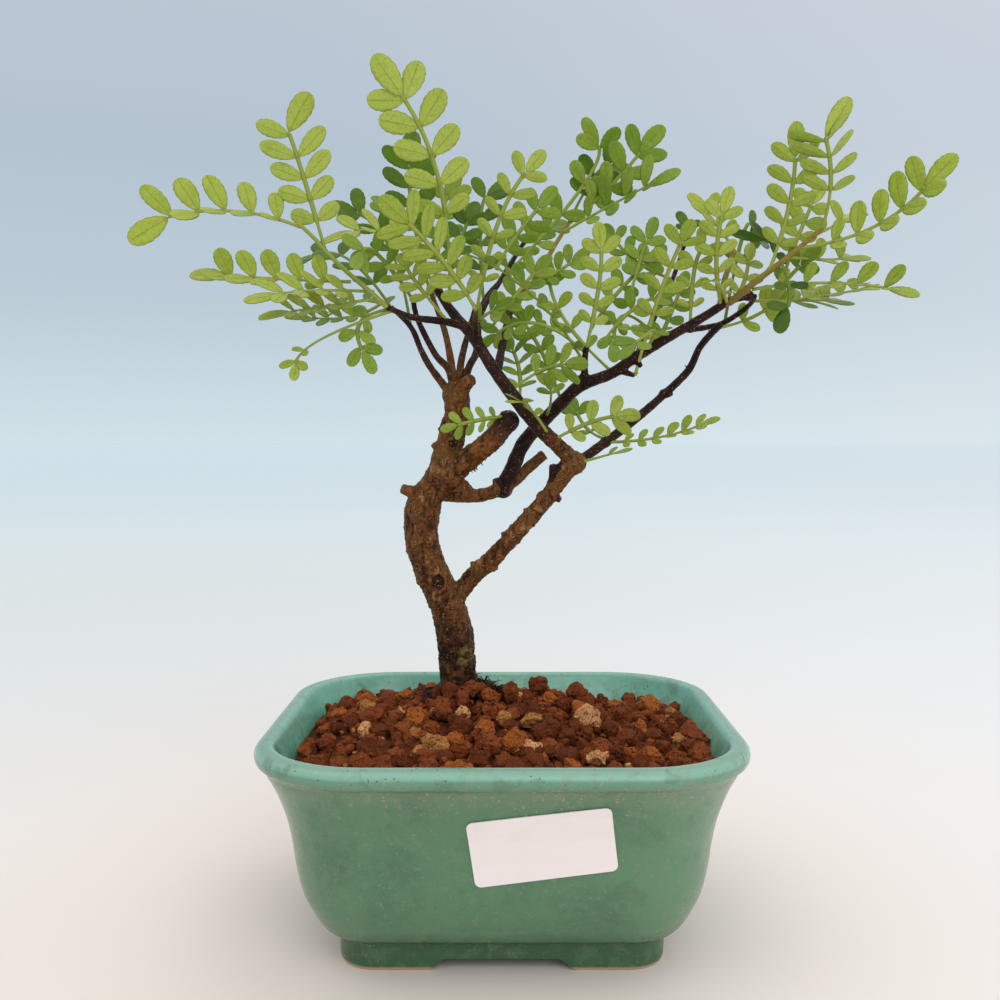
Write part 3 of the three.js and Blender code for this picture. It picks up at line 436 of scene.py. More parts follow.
glaze, tree, shader, where = new_material("sea green glaze", 0.34, Coat_Weight=0.22, Coat_Roughness=0.16)
high = node(tree, "ShaderNodeSeparateXYZ", Vector=where).outputs["Z"]
thin, within = attribute(tree, "veil"), attribute(tree, "inside")
body = mottle(tree, where, GLAZE_BODY, GLAZE_DEEP, 34.0, 420.0, 0.40)
inner = mottle(tree, where, GLAZE_INNER, GLAZE_SHADE, 60.0, 500.0, 0.42)
lip = ramp(tree, high, *LIP_FADE)
# Painted highlight: a bright band along the front of the lip, where the glossy glaze catches the light
highlight_band = times(tree, ramp(tree, high, *HIGHLIGHT_RISE), ramp(tree, high, *HIGHLIGHT_FALL))
surface = layered(
    tree, body["Colour"],
    (GLAZE_VEIL, thin, 0.55),
    # Painted light: the glaze is painted paler towards the right end of the pot
    (GLAZE_PAINTED_LIGHT, attribute(tree, "painted_light"), 0.6),
    # Painted shade: the foot is darker under the overhang of the body
    (GLAZE_FOOT_SHADE, ramp(tree, high, *FOOT_SHADE_FADE), 0.9),
    (inner["Colour"], within),
    (GLAZE_LIP, lip, maths(tree, "SUBTRACT", 0.8, times(tree, within, 0.55))),
    (GLAZE_HIGHLIGHT, highlight_band, maths(tree, "SUBTRACT", 0.85, times(tree, within, 0.75))),
    (GLAZE_THIN, ramp(tree, high, *CREST_FADE), 0.35),
    (GLAZE_VEIL, flecks(tree, where, *BLUSH), maths(tree, "ADD", thin, 0.40), 0.45),
    (GLAZE_PIT, flecks(tree, where, *PITS), maths(tree, "ADD", thin, 0.34)),
    (GLAZE_PIT, flecks(tree, where, *FINE_PITS), maths(tree, "ADD", thin, 0.22)),
    (GLAZE_DEEP, flecks(tree, where, *SMOKE), 0.35),
    (PEPPER, speckle(tree, where, *PEPPER_SPECKS), maths(tree, "ADD", lip, 0.25)),
    (BARE_CLAY, ramp(tree, high, *CLAY_FADE)),
)
finish(tree, shader, surface, body["Height"], 0.15, 0.0006)
vary_roughness(tree, shader, body["Mask"], 0.26, 0.46)
pot.data.materials.clear()
pot.data.materials.append(glaze)
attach(pot, "root")
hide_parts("pot")

# Drain screens. Two square plastic meshes lie over the drain holes and keep the granules in.
# They are moulded in black and stay as the frame has them.
SCREEN_BLACK = (0.012, 0.012, 0.013)
SCREEN_DUST = (0.060, 0.040, 0.030)
screen_plastic, tree, shader, where = new_material("black screen plastic", 0.6)
dusted = mottle(tree, where, SCREEN_BLACK, SCREEN_DUST, 90.0, 900.0, 0.4)
finish(tree, shader, dusted["Colour"])
for name in ("drain_screen_left", "drain_screen_right"):
    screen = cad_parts[name]
    screen.data.materials.clear()
    screen.data.materials.append(screen_plastic)

# Label. A plain white paper sticker with rounded corners, pressed on to the front wall a little askew.
# It follows the wall and stays blank.
LABEL_SIZE = (43.8, 21.8)
LABEL_CORNER = 2
LABEL_MIDDLE = (12.1, 46.8)
LABEL_TILT = 7.6
LABEL_BACK, LABEL_FRONT = 0.05, 0.6
CORNER_ROWS = 6
SIDE_ROWS = 12
HALF_COLUMNS = 12
PAPER = (0.930, 0.830, 0.800)
PAPER_SHADE = 0.95


def label_rows(stand_off):
    """Rows of points over the label, at one distance from the wall."""
    turn = math.radians(LABEL_TILT)
    width, height = LABEL_SIZE
    ends = [LABEL_CORNER * (1 - math.cos(math.radians(90 / CORNER_ROWS * i))) for i in range(CORNER_ROWS + 1)]
    sides = [LABEL_CORNER + (height - 2 * LABEL_CORNER) * i / SIDE_ROWS for i in range(1, SIDE_ROWS)]
    rows = []
    for at in [*ends, *sides, *[height - end for end in reversed(ends)]]:
        into = max(LABEL_CORNER - min(at, height - at), 0)
        half = width / 2 - LABEL_CORNER + math.sqrt(max(LABEL_CORNER ** 2 - into ** 2, 0))
        row = []
        for step in range(2 * HALF_COLUMNS + 1):
            across, up = (step / HALF_COLUMNS - 1) * half, at - height / 2
            x = LABEL_MIDDLE[0] + across * math.cos(turn) - up * math.sin(turn)
            z = LABEL_MIDDLE[1] + across * math.sin(turn) + up * math.cos(turn)
            row.append((x, -(RIM_DEPTH / 2 - wall_inset(z)) - stand_off, z))
        rows.append(row)
    return rows


label_rings = [front + back[::-1] for front, back in zip(label_rows(LABEL_FRONT), label_rows(LABEL_BACK))]
label = solid("blank_sticker", *skin(label_rings), smooth=False)
paper, tree, shader, where = new_material("white sticker paper", 0.42)
fibre = mottle(tree, where, PAPER, tuple(PAPER_SHADE * c for c in PAPER), 60.0, 2500.0, 0.4)
finish(tree, shader, fibre["Colour"], fibre["Height"], 0.05, 0.0002)
label.data.materials.append(paper)
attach(label, "root")
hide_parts("blank_label")

# Soil. Fired red-brown clay granules of 2 to 10 mm, heaped a little towards the trunk.
# A bed painted dark, as painted shade in the gaps between the granules, carries layers of them, each granule
# an angular broken lump, with a few tan ones among them.
SOIL_EDGE_Z = 64
SOIL_FALL = 0.04
MOUND_MIDDLE = (-12, 20)
MOUND_RISE = 10
MOUND_SPREAD = (34, 28)
SOIL_SEED = 5
# Layers of granules: how many, smallest and largest radius, and how far they lie above the soil's face
COARSE_LAYERS = ((240, 2.4, 4.2, -1.9), (210, 2.7, 5.4, 0.4))
FINE_LAYERS = ((420, 1.0, 2.2, -0.6), (170, 0.8, 1.8, 1.3))
STONE_KINDS = 16
FLAT_BREAKS = 9
# A stone's two short axes, the depth of its breaks, and how fine and how high the lumps of its skin are
STONE_AXES = ((0.78, 1), (0.62, 0.92))
BREAK_DEPTH = (0.55, 0.82)
BREAK_FLATNESS = 0.92
STONE_LUMPS = ((1.7, 0.30), (5.2, 0.26))
STONE_SWELL = 1.14
STREW_HALF = (71, 63)
TRIES = 30
CLOSEST = 0.78
UNEVEN = 0.6
SHARP_ANGLE = 32
TRUNK_FOOT = (-16, 26)
TRUNK_FOOT_RADIUS = 7.5
SOIL_INSET = 9
SOIL_ASIDE = 1.5
BED_INSET = 10.5
BED_SINK = 2.4
BED_RINGS = 16
BED_TAPER = 0.7
# Stones that lie where they are easily seen: middle, radius, and tone from dark (0) to cream (1)
PLACED = [
    ((-19, 13, 76.5), 3.6, 0.30), ((-12, 12, 78), 4.3, 0.55), ((-8, 16, 76.5), 3.3, 0.40),
    ((-24, 16, 75.5), 3.1, 0.20), ((-4, 13, 75.5), 3.5, 0.86), ((3, 14, 76), 3.8, 0.45),
    ((-14, 7, 75.5), 3.4, 0.50), ((13.5, 40, 72.5), 4, 0.35), ((11, 38, 69), 3.6, 0.25),
    ((17, 41, 69), 3.6, 0.60), ((29.5, 38, 71), 4.4, 0.50), ((26, 37, 67), 3.6, 0.35),
    ((33, 38, 67), 3.6, 0.65), ((30.3, 2, 69.3), 5.2, 0.99), ((0.7, -5, 71.8), 3, 0.97),
    ((-49, 12, 70.5), 4.2, 0.95), ((-31.3, -4, 71.6), 5, 0.87), ((30.6, -36, 66.3), 3.4, 0.98),
    ((49, -34, 66), 3.6, 0.90), ((9.8, -4, 70.6), 4.2, 0.94), ((65, 25, 65.7), 3, 0.95),
    ((57, 30, 66.5), 3.4, 0.93), ((44, 8, 69), 4.6, 0.4),
]
SOIL_DARK = (0.135, 0.032, 0.010)
# Colours that take over from the dark one as a granule's tone rises, and the tones over which they do
SOIL_TONES = [
    ((0.285, 0.072, 0.020), 0.05, 0.80),
    ((0.420, 0.115, 0.024), 0.80, 0.84),
    ((0.500, 0.215, 0.062), 0.93, 0.935),
    ((0.800, 0.390, 0.160), 0.975, 0.98),
]
SOIL_PORE = (0.040, 0.011, 0.005)
PORES = (900.0, 0.40)
FINE_PORES = (2100.0, 0.36)
BED_SHADE = (0.060, 0.018, 0.008)
BED_SHADE_RED = (0.120, 0.034, 0.012)


def soil_height(x, y):
    far = sum(((at - middle) / spread) ** 2 for at, middle, spread in zip((x, y), MOUND_MIDDLE, MOUND_SPREAD))
    return SOIL_EDGE_Z - SOIL_FALL * max(y, 0) + MOUND_RISE * math.exp(-far / 2)


def inside_pot(x, y, margin):
    """True where a granule clears the pot's inner wall."""
    half_x, half_y, corner = pot_sides(SOIL_INSET + margin)
    return math.hypot(max(abs(x) - half_x + corner, 0), max(abs(y) - half_y + corner, 0)) <= corner


def any_way(rng):
    """A direction picked evenly from all of them."""
    return Vector((rng.gauss(0, 1), rng.gauss(0, 1), rng.gauss(0, 1))).normalized()


def ball(detail, radius):
    """Corners and triangles of a ball round the origin."""
    shape = bmesh.new()
    bmesh.ops.create_icosphere(shape, subdivisions=detail, radius=radius)
    verts = [vert.co.copy() for vert in shape.verts]
    faces = [tuple(vert.index for vert in face.verts) for face in shape.faces]
    shape.free()
    return verts, faces


def broken_lump(rng, kind, detail):
    """A small broken stone with flat breaks and a crumbly skin, about 1 across its half width."""
    verts, faces = ball(detail, 1)
    squash = Vector((1, *(rng.uniform(*axis) for axis in STONE_AXES)))
    breaks = [(any_way(rng), rng.uniform(*BREAK_DEPTH)) for _ in range(FLAT_BREAKS)]
    aside = (Vector((kind * 7.1, 0, 0)), Vector((0, kind * 5.3, 0)))
    for spot in verts:
        for way, limit in breaks:
            over = spot.dot(way) - limit
            if over > 0:
                spot -= way * over * BREAK_FLATNESS
        lumps = sum(noise.noise(spot * fine + way) * high for way, (fine, high) in zip(aside, STONE_LUMPS))
        spot *= STONE_SWELL + lumps
        spot[:] = spot * squash
    return verts, faces


def turned(rng):
    """A random turn, as three axes."""
    first = any_way(rng)
    second = first.orthogonal().normalized()
    angle = rng.uniform(0, math.tau)
    second = second * math.cos(angle) + first.cross(second) * math.sin(angle)
    return first, second, first.cross(second)


def strew(layers, placed, detail, rng):
    """Granules of every layer, each kept clear of the others of its own layer, and the placed ones."""
    stones = [broken_lump(rng, kind, detail) for kind in range(STONE_KINDS)]
    verts, faces, tones = [], [], []

    def lay(middle, radius, tone):
        shape, sides = stones[rng.randrange(len(stones))]
        axes = turned(rng)
        start = len(verts)
        for corner in shape:
            verts.append(middle + sum((axis * part for axis, part in zip(axes, corner)), Vector()) * radius)
        faces.extend(tuple(start + i for i in side) for side in sides)
        tones.extend([tone] * len(shape))

    for middle, radius, tone in placed:
        lay(Vector(middle), radius, tone)
    for count, small, large, rise in layers:
        taken = [(x, y, radius) for (x, y, z), radius, _ in placed if rise > 0]
        for _ in range(count * TRIES):
            if len(taken) >= count:
                break
            radius = small + (large - small) * rng.random() ** 1.3
            x, y = (rng.uniform(-half, half) for half in STREW_HALF)
            near_trunk = math.hypot(x - TRUNK_FOOT[0], y - TRUNK_FOOT[1]) < TRUNK_FOOT_RADIUS + radius
            if near_trunk or not inside_pot(x - SOIL_ASIDE, y, radius):
                continue
            if any((x - a) ** 2 + (y - b) ** 2 < (CLOSEST * (radius + c)) ** 2 for a, b, c in taken):
                continue
            taken.append((x, y, radius))
            lay(Vector((x, y, soil_height(x, y) + rise + rng.uniform(-UNEVEN, UNEVEN))), radius, rng.random())
    return verts, faces, tones


soil_draw = random.Random(SOIL_SEED)
heaps = []
for name, layers, placed, detail in (
    ("soil_granules", COARSE_LAYERS, PLACED, 3), ("soil_fines", FINE_LAYERS, [], 2)
):
    soil_verts, soil_faces, soil_tones = strew(layers, placed, detail, soil_draw)
    heap = solid(name, soil_verts, soil_faces)
    heap.data.set_sharp_from_angle(angle=math.radians(SHARP_ANGLE))
    store(heap, "tone", soil_tones)
    heaps.append(heap)
bed_rings = []
for share in [1 - i / BED_RINGS for i in range(BED_RINGS)]:
    spots = [(p.x * share, p.y * share) for p in pot_ring(BED_INSET, 0)]
    bed_rings.append([(x, y, soil_height(x, y) - BED_SINK) for x, y in spots])
bed_floor = [(x * BED_TAPER, y * BED_TAPER, FLOOR_Z + 2) for x, y, z in bed_rings[0]]
bed = solid("soil_bed", *skin([bed_floor, *bed_rings]))

clay_soil, tree, shader, where = new_material("fired clay granules", 0.9, Specular_IOR_Level=0.12)
tone = attribute(tree, "tone")
base = layered(tree, SOIL_DARK, *[(rgb, ramp(tree, tone, low, high)) for rgb, low, high in SOIL_TONES])
pored = mottle(tree, where, base, SOIL_TONES[0][0], 300.0, 1050.0, 0.36)
surface = layered(tree, pored["Colour"], (SOIL_DARK, flecks(tree, where, *PORES)),
                  (SOIL_PORE, flecks(tree, where, *FINE_PORES)))
finish(tree, shader, surface, pored["Height"], 1.0, 0.0040)
shaded_bed_soil, tree, shader, where = new_material("soil between granules", 0.95, Specular_IOR_Level=0.1)
# Painted shade: the bed's dark colours stand for the shaded gaps between the granules
under = mottle(tree, where, BED_SHADE, BED_SHADE_RED, 300.0, 1200.0, 0.5)
finish(tree, shader, under["Colour"], under["Height"], 0.5, 0.002)
for piece, material in ((heaps[0], clay_soil), (heaps[1], clay_soil), (bed, shaded_bed_soil)):
    piece.data.materials.append(material)
    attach(piece, "root")
    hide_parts("soil")

# Tree. Trunk, leader, pruned stubs, branches and twigs grew as one, so they are remeshed into one skin.
# The old wood is olive brown and rough, the branches are purple black with pale dots, the shoots are golden.
TRUNK = [
    (-16, 26, 52), (-16, 26, 74), (-16.5, 26, 80), (-17.5, 25, 94), (-19.5, 25, 104), (-23, 24, 113),
    (-26.5, 23, 120.5), (-29.5, 22, 130), (-30, 22, 137.5), (-28.5, 22, 147), (-23, 21, 155),
]
TRUNK_RADII = (6, 8.4, 7.4, 6.8, 7, 6.7, 6.3, 6.2, 6.3, 6.7, 4.6)
OLD, REDDISH, DARK, GOLD = 0.0, 0.3, 0.5, 1.0
# Each limb's route, its radius at the start and at the end, and its ages from start to end
LIMBS = [
    ([(-25.5, 22, 149), (-21, 23, 162.5), (-18, 23, 173), (-16.5, 22, 182), (-17, 21, 188.5)],
     (5.3, 4.7), (OLD, OLD)),
    ([(-24, 22, 149.5), (-17.5, 19, 157.5), (-11, 16, 163.5), (-3.5, 13, 169.5), (3, 11, 177.5)],
     (4.7, 3.8), (OLD, OLD, 0.16, 0.42)),
    ([(-22, 22, 149.5), (-13, 23, 148.5), (-6.5, 24, 149), (-0.5, 25, 151), (4, 26, 153.5), (8.5, 27, 157.5),
      (16, 28, 164)], (2.9, 2), (OLD, OLD)),
    ([(-0.5, 25, 150), (4, 24, 159), (8, 23, 168), (16, 21, 177), (22, 19, 183), (28.5, 17, 189),
      (40, 15, 193.5), (46.5, 13, 198), (58, 9, 205), (71, 5, 212.5), (80, 2, 218), (86, 0, 219.5)],
     (3, 1.3), (DARK, DARK)),
    ([(-20, 24, 108), (-14.5, 23, 114), (-10.5, 22, 119), (-4.5, 20, 124.5), (6.5, 17, 136.5), (17, 14, 149),
      (21, 13, 156), (27, 12, 161)], (3.4, 3), (OLD, OLD)),
    ([(19, 13.5, 152), (23, 12.5, 158), (27, 12, 162)], (3.2, 4), (OLD, OLD)),
    ([(27, 12, 160.5), (21.5, 10, 166), (13, 8, 174), (5.5, 6, 183), (-2, 6, 193), (-10.5, 7, 206),
      (-19, 9, 216.5), (-25, 10, 226.5)], (3, 1.5), (-0.1, 0.35, DARK, DARK, DARK, 0.55)),
    ([(26, 13, 160), (38, 17, 168.5), (50, 21, 177.5), (60, 23, 186), (69, 22, 195), (72.5, 17, 203.5),
      (78, 8, 210.5)], (1.9, 1.2), (DARK, DARK)),
    ([(-18, 21, 185), (-26, 23, 195.5), (-30, 25, 202.5), (-34, 26, 211.5), (-41.5, 27, 219)],
     (1.5, 0.9), (0.2, DARK)),
    ([(-17.5, 21, 186), (-19.5, 16, 195), (-24, 12, 200), (-30, 8, 212), (-31.5, 6, 219)],
     (1.5, 0.9), (0.2, DARK)),
    ([(-17, 21, 186), (-19.5, 25, 201.5), (-22, 28, 212), (-27.5, 31, 226.5)], (1.6, 0.9), (0.1, REDDISH)),
    ([(-16.5, 22, 186), (-15.5, 27, 197), (-14, 31, 205), (-10, 38, 220.5)], (1.6, 0.9), (0.1, DARK)),
    ([(-16, 22, 186), (-12, 25, 197), (-9.5, 30, 203), (-7.5, 41, 221.5), (0.5, 48, 232.5)],
     (1.6, 0.9), (REDDISH, DARK)),
    ([(-13, 8, 209.5), (-19, 6, 211), (-24.5, 4, 211.5), (-32.5, 2, 212.5), (-41, 0, 216)],
     (1.5, 1), (DARK, DARK)),
    ([(-9, 7, 204), (-9.5, 1, 209.5), (-9, -4, 214.5)], (1.3, 0.9), (DARK, 0.75)),
    ([(-1.5, 7, 194), (1, 20, 208), (5, 36, 223), (12.5, 42, 230.5), (20.5, 49, 245), (27.5, 53, 256.5)],
     (1.6, 0.8), (DARK, GOLD)),
    ([(-9, 7, 204), (-7.5, 18, 216), (0.5, 29, 230.5), (9, 37, 245.5)], (1.4, 0.8), (DARK, DARK)),
    ([(30.5, 17, 189.5), (30, 15, 197), (30.5, 13, 203)], (1.4, 1.1), (DARK, DARK)),
    ([(42, 14.5, 194.5), (45, 13, 193.5), (48, 11.5, 192.5)], (1.2, 0.9), (DARK, DARK)),
    ([(49, 13, 199.5), (53.5, 20, 209.5), (63, 31, 226.5), (69.5, 36, 243.5)], (1.3, 0.8), (DARK, 0.6)),
    ([(77, 4, 216), (78.5, 5.5, 225), (82.5, 7, 236.5)], (1.2, 0.9), (0.8, GOLD)),
    ([(79.5, 2, 217), (86.5, -2, 223), (97.5, -5, 231.5), (109.5, -8, 241.5)], (1.3, 0.8), (0.8, GOLD)),
    ([(66, 7.5, 208.5), (74, 14, 210), (81, 16, 212), (88, 10, 217), (89, 3, 220)], (1.2, 0.9), (DARK, DARK)),
    ([(-28, 22, 149), (-33, 20, 150), (-37, 18.5, 151.5)], (3.2, 1.8), (OLD, OLD)),
    ([(-17, 21, 185), (-14, 18, 189), (-11, 15, 191.5)], (3.2, 2.4), (OLD, OLD)),
    ([(-21, 23, 163), (-25.5, 21, 168)], (2, 1.2), (OLD, OLD)),
    ([(19, 13.5, 155), (18.5, 12.5, 160.5)], (2, 1.4), (DARK, DARK)),
    ([(-16, 26, 79), (-9, 22, 75), (-2, 19, 72.5), (6, 17, 68)], (4.2, 1.2), (OLD, OLD)),
    ([(-16, 26, 79), (-22, 20, 75), (-27, 14, 71.5), (-31, 10, 67)], (4.2, 1.2), (OLD, OLD)),
    ([(-16, 26, 79), (-21, 33, 75), (-25, 40, 70)], (4, 1.4), (OLD, OLD)),
]
# Nubs left where small twigs were taken off: route, radius at the start and at the end
NUBS = [
    ([(-9.8, 21.3, 119.5), (-11.2, 21, 124)], (1.7, 0.9)), ([(1.5, 18, 131), (0.2, 18, 135.6)], (1.8, 0.9)),
    ([(10, 16, 140.5), (8.4, 15.5, 144.5)], (1.9, 1.0)), ([(15, 14.2, 147), (13, 14, 150)], (1.8, 1.1)),
    ([(-3.5, 19.5, 124), (-2.2, 19.3, 120.8)], (1.9, 1.2)),
    ([(19, 13.6, 149), (21.3, 13.2, 147)], (1.9, 1.1)), ([(0.5, 25, 151), (-2.5, 22.5, 154.5)], (2.2, 1.5)),
    ([(-13, 23, 150), (-14.5, 20, 153.5)], (2.6, 1.9)), ([(48, 12, 198.5), (50, 10, 195.5)], (1.6, 0.9)),
    ([(60, 23, 186), (63, 21, 186.5)], (1.5, 1.0)), ([(30, 17, 189), (27.5, 16, 192.5)], (1.8, 1.2)),
    ([(-20, 21.5, 172), (-23.4, 20.5, 174)], (1.8, 1.0)),
]
# Swellings at forks and knuckles: middle and radius
SWELLINGS = [
    ((26.5, 12, 161), 4.3), ((-17, 20.5, 186), 5.2), ((0.5, 25, 151), 3.7), ((-18, 24, 110), 4.4),
    ((29, 17, 189.5), 2.6), ((86, 0, 219.5), 2), ((-9, 7, 205), 2.3), ((48, 13, 199.5), 2.2),
    ((67, 7, 209), 1.9), ((2.2, 11, 176), 4.2), ((38, 17, 168.5), 2.2), ((60, 23, 186.5), 1.8),
    ((-15, 22.5, 150), 4.2), ((-28.5, 19, 117.5), 3.4),
]
# Old scars, each ringed like the healed eye of a lost branch: middle on the bark and radius
EYES = [((-23.6, 17, 117), 5.4), ((-18.5, 18, 168), 2.6), ((13, 13.5, 144.5), 2.4)]
STUB = (Vector((-11, 16, 163.5)), Vector((3, 11, 177.5)))
WOOD_VOXEL = 0.52
WOOD_EASE = 4
# Bark stands out on limbs from one radius on, and ends at one age
COARSE_RADIUS = (1.2, 3.4)
SMOOTH_AGE = (0.15, 0.35)
BARK_RISE = (0.10, 0.42)
FLAKE_RISE = 0.7
# Cracks are drawn out along the limb, and lumps and crumbs each have how fine and how high they are
CRACK_DRAW = 0.42
CRACK_SIZE = 0.46
CRACK_WALL = 2.8
PLATE_RISE = 0.6
LUMPS = ((0.2, 0.9), (0.7, 0.6))
CRUMBS = ((1.1, 0.6), (2.4, 0.4))
# Scars: how far their rings reach, in radii, how close the rings are, and how uneven
EYE_REACH = 1.8
EYE_RINGS = 9.5
EYE_UNEVEN = 0.45
# How fast a scar's rings and its boss end outwards, how high they stand, and how much they add to the bark's
# relief, which its painted shade and highlight follow
EYE_FADE = (1.3, 2)
EYE_RISE = (0.8, 0.5)
EYE_SHADE = (1.1, -0.8)
# Sides of a limb's rings, and millimetres between the rings
TRUNK_MESH = (28, 2)
LIMB_MESH = (18, 1.6)
KNUCKLES = 0.05
SMOOTHING_LOSS = 0.06
MOSS_MIDDLE, MOSS_REACH = (-12.5, 19.5, 88.5), 6.5
ORANGE_MIDDLE, ORANGE_REACH = (-6, 12, 167.5), 7
STUB_REACH = 5
STUB_END_REACH = 12
BARK_OLIVE = (0.165, 0.072, 0.016)
BARK_BROWN = (0.120, 0.036, 0.010)
BARK_RUST = (0.330, 0.100, 0.020)
BARK_TAN_FLAKE_AND_HIGHLIGHT = (0.480, 0.240, 0.100)
BARK_FISSURE_AND_SHADE = (0.018, 0.006, 0.003)
BARK_FOOT_DARK = (0.016, 0.007, 0.004)
BRANCH_BLACK = (0.018, 0.006, 0.004)
BRANCH_PURPLE = (0.070, 0.020, 0.010)
TWIG_GOLD = (0.270, 0.195, 0.034)
LENTICEL = (0.500, 0.290, 0.140)
MOSS = (0.170, 0.130, 0.036)
# Heights, in metres, over which the trunk gets darker towards its foot, and above which the pale dots show
FOOT_DARK_FADE = (0.114, 0.084)
DOTS_FROM = (0.080, 0.092)
# How fine the bark's flecks are, and their cover, and for the dots their share and spread too
RUST_FLECKS = (480.0, 0.46)
ORANGE_FLECKS = (320.0, 0.58)
FISSURES = (700.0, 0.42)
FOOT_DARK_FLECKS = (260.0, 0.55)
MOSS_FLECKS = (520.0, 0.50)
STUB_FLAKES = (480.0, 0.38)
DOTS = (600.0, 0.24, 0.27)
SMALL_DOTS = (1050.0, 0.20, 0.30)


def limb_rings(route, radius_at, sides, step):
    """Rings of a round limb along a smooth route, turned as little as can be from one to the next."""
    path = [Vector(p) for p in smooth_path([tuple(p) for p in route], 6)]
    length = sum((b - a).length for a, b in zip(path, path[1:]))
    count = max(2, round(length / step))
    middles, walked, target = [path[0]], 0, length / count
    for a, b in zip(path, path[1:]):
        stretch = (b - a).length
        while stretch and walked + stretch >= target - 1e-6 and len(middles) <= count:
            middles.append(a.lerp(b, (target - walked) / stretch))
            target += length / count
        walked += stretch
    rings, across = [], None
    for i, middle in enumerate(middles):
        ahead = (middles[min(i + 1, len(middles) - 1)] - middles[max(i - 1, 0)]).normalized()
        across = (ahead.orthogonal() if across is None else across - ahead * across.dot(ahead)).normalized()
        over = ahead.cross(across)
        radius = radius_at(i / (len(middles) - 1))
        ring = []
        for a in range(sides):
            angle = a * math.tau / sides
            ring.append(middle + (across * math.cos(angle) + over * math.sin(angle)) * radius)
        rings.append(ring)
    return rings, middles


def between(values, share):
    """The value at one share of the way through an evenly spaced list."""
    place_on = share * (len(values) - 1)
    first = min(int(place_on), len(values) - 2)
    part = place_on - first
    return values[first] * (1 - part) + values[first + 1] * part


def join_skins(skins):
    """One list of vertices and faces from several skins."""
    verts, faces = [], []
    for more_verts, more_faces in skins:
        start = len(verts)
        verts += more_verts
        faces += [tuple(start + i for i in face) for face in more_faces]
    return verts, faces


def far_from_line(spot, start, end):
    """How far a spot lies from a straight stretch."""
    along = end - start
    share = clamp((spot - start).dot(along) / along.length_squared)
    return (spot - start - along * share).length


def bark_relief(spot, coarse):
    """How far the bark stands out at a spot: plates between cracks, lumps and crumbs, about -1 to 1."""
    drawn = Vector((spot.x, spot.y, spot.z * CRACK_DRAW))
    reach, _ = noise.voronoi(drawn * CRACK_SIZE)
    plates = min((reach[1] - reach[0]) * CRACK_WALL, 1) - 0.7
    lumps = sum(noise.noise(at * fine) * high for at, (fine, high) in zip((spot, drawn), LUMPS))
    crumbs = sum(noise.noise(spot * fine) * high for fine, high in CRUMBS)
    return plates * PLATE_RISE * coarse + lumps * (0.4 + 0.6 * coarse) + crumbs * (0.5 + 0.5 * coarse)


wood_skins = []
wood_marks = []
rings, middles = limb_rings(TRUNK, lambda share: between(TRUNK_RADII, share), *TRUNK_MESH)
wood_skins.append(skin(rings))
for i, middle in enumerate(middles):
    wood_marks.append((middle, between(TRUNK_RADII, i / (len(middles) - 1)), OLD))
for route, (thick, thin), ages in [*LIMBS, *[(*nub, None) for nub in NUBS]]:
    knuckle = random.Random(len(wood_marks))

    def limb_radius(share, a=thick, b=thin, rng=knuckle):
        return (a + (b - a) * share) * (1 + rng.uniform(-KNUCKLES, KNUCKLES)) + SMOOTHING_LOSS

    rings, middles = limb_rings(route, limb_radius, *LIMB_MESH)
    wood_skins.append(skin(rings))
    for i, middle in enumerate(middles if ages else []):
        share = i / (len(middles) - 1)
        wood_marks.append((middle, thick + (thin - thick) * share, between(ages, share)))
for middle, radius in SWELLINGS:
    corners, sides = ball(3, radius)
    wood_skins.append(([tuple(corner + Vector(middle)) for corner in corners], sides))
wood = solid("tree_wood", *join_skins(wood_skins))
fuse = wood.modifiers.new("fuse", "REMESH")
fuse.mode = "VOXEL"
fuse.voxel_size = WOOD_VOXEL * MM
fuse.use_smooth_shade = True
ease = wood.modifiers.new("ease", "SMOOTH")
ease.factor = 0.5
ease.iterations = WOOD_EASE
apply_modifiers(wood)

nearest = kdtree.KDTree(len(wood_marks))
for i, (middle, _, _) in enumerate(wood_marks):
    nearest.insert(place(*middle), i)
nearest.balance()
marks = {"age": [], "relief": [], "moss": [], "rust": [], "flaky": []}
origin = place(0, 0, 0)
normals = [vert.normal.copy() for vert in wood.data.vertices]
for vert, normal in zip(wood.data.vertices, normals):
    _, i, _ = nearest.find(vert.co)
    _, radius, age = wood_marks[i]
    spot = (vert.co - origin) / MM
    coarse = rise_between(radius, *COARSE_RADIUS) * (1 - rise_between(age, *SMOOTH_AGE))
    relief = bark_relief(spot, coarse)
    amount = BARK_RISE[0] + BARK_RISE[1] * coarse
    flaky = 0
    if far_from_line(spot, *STUB) < STUB_REACH:
        flaky = max(1 - (spot - STUB[1]).length / STUB_END_REACH, 0)
    rise = relief * (amount + FLAKE_RISE * flaky)
    for eye, size in EYES:
        away = (spot - Vector(eye)).length / size * (1 + EYE_UNEVEN * noise.noise(spot * 0.4))
        if away < EYE_REACH:
            ring = math.cos(away * EYE_RINGS) * math.exp(-EYE_FADE[0] * away * away)
            boss = math.exp(-EYE_FADE[1] * away * away)
            rise += EYE_RISE[0] * ring + EYE_RISE[1] * boss
            relief += EYE_SHADE[0] * ring + EYE_SHADE[1] * boss
    vert.co += normal * (rise * MM)
    mossy = max(1 - (spot - Vector(MOSS_MIDDLE)).length / MOSS_REACH, 0)
    rusty = max(1 - (spot - Vector(ORANGE_MIDDLE)).length / ORANGE_REACH, 0)
    for kept, value in zip(marks.values(), (age, relief, mossy, rusty, flaky)):
        kept.append(value)
for name, values in marks.items():
    store(wood, name, values)

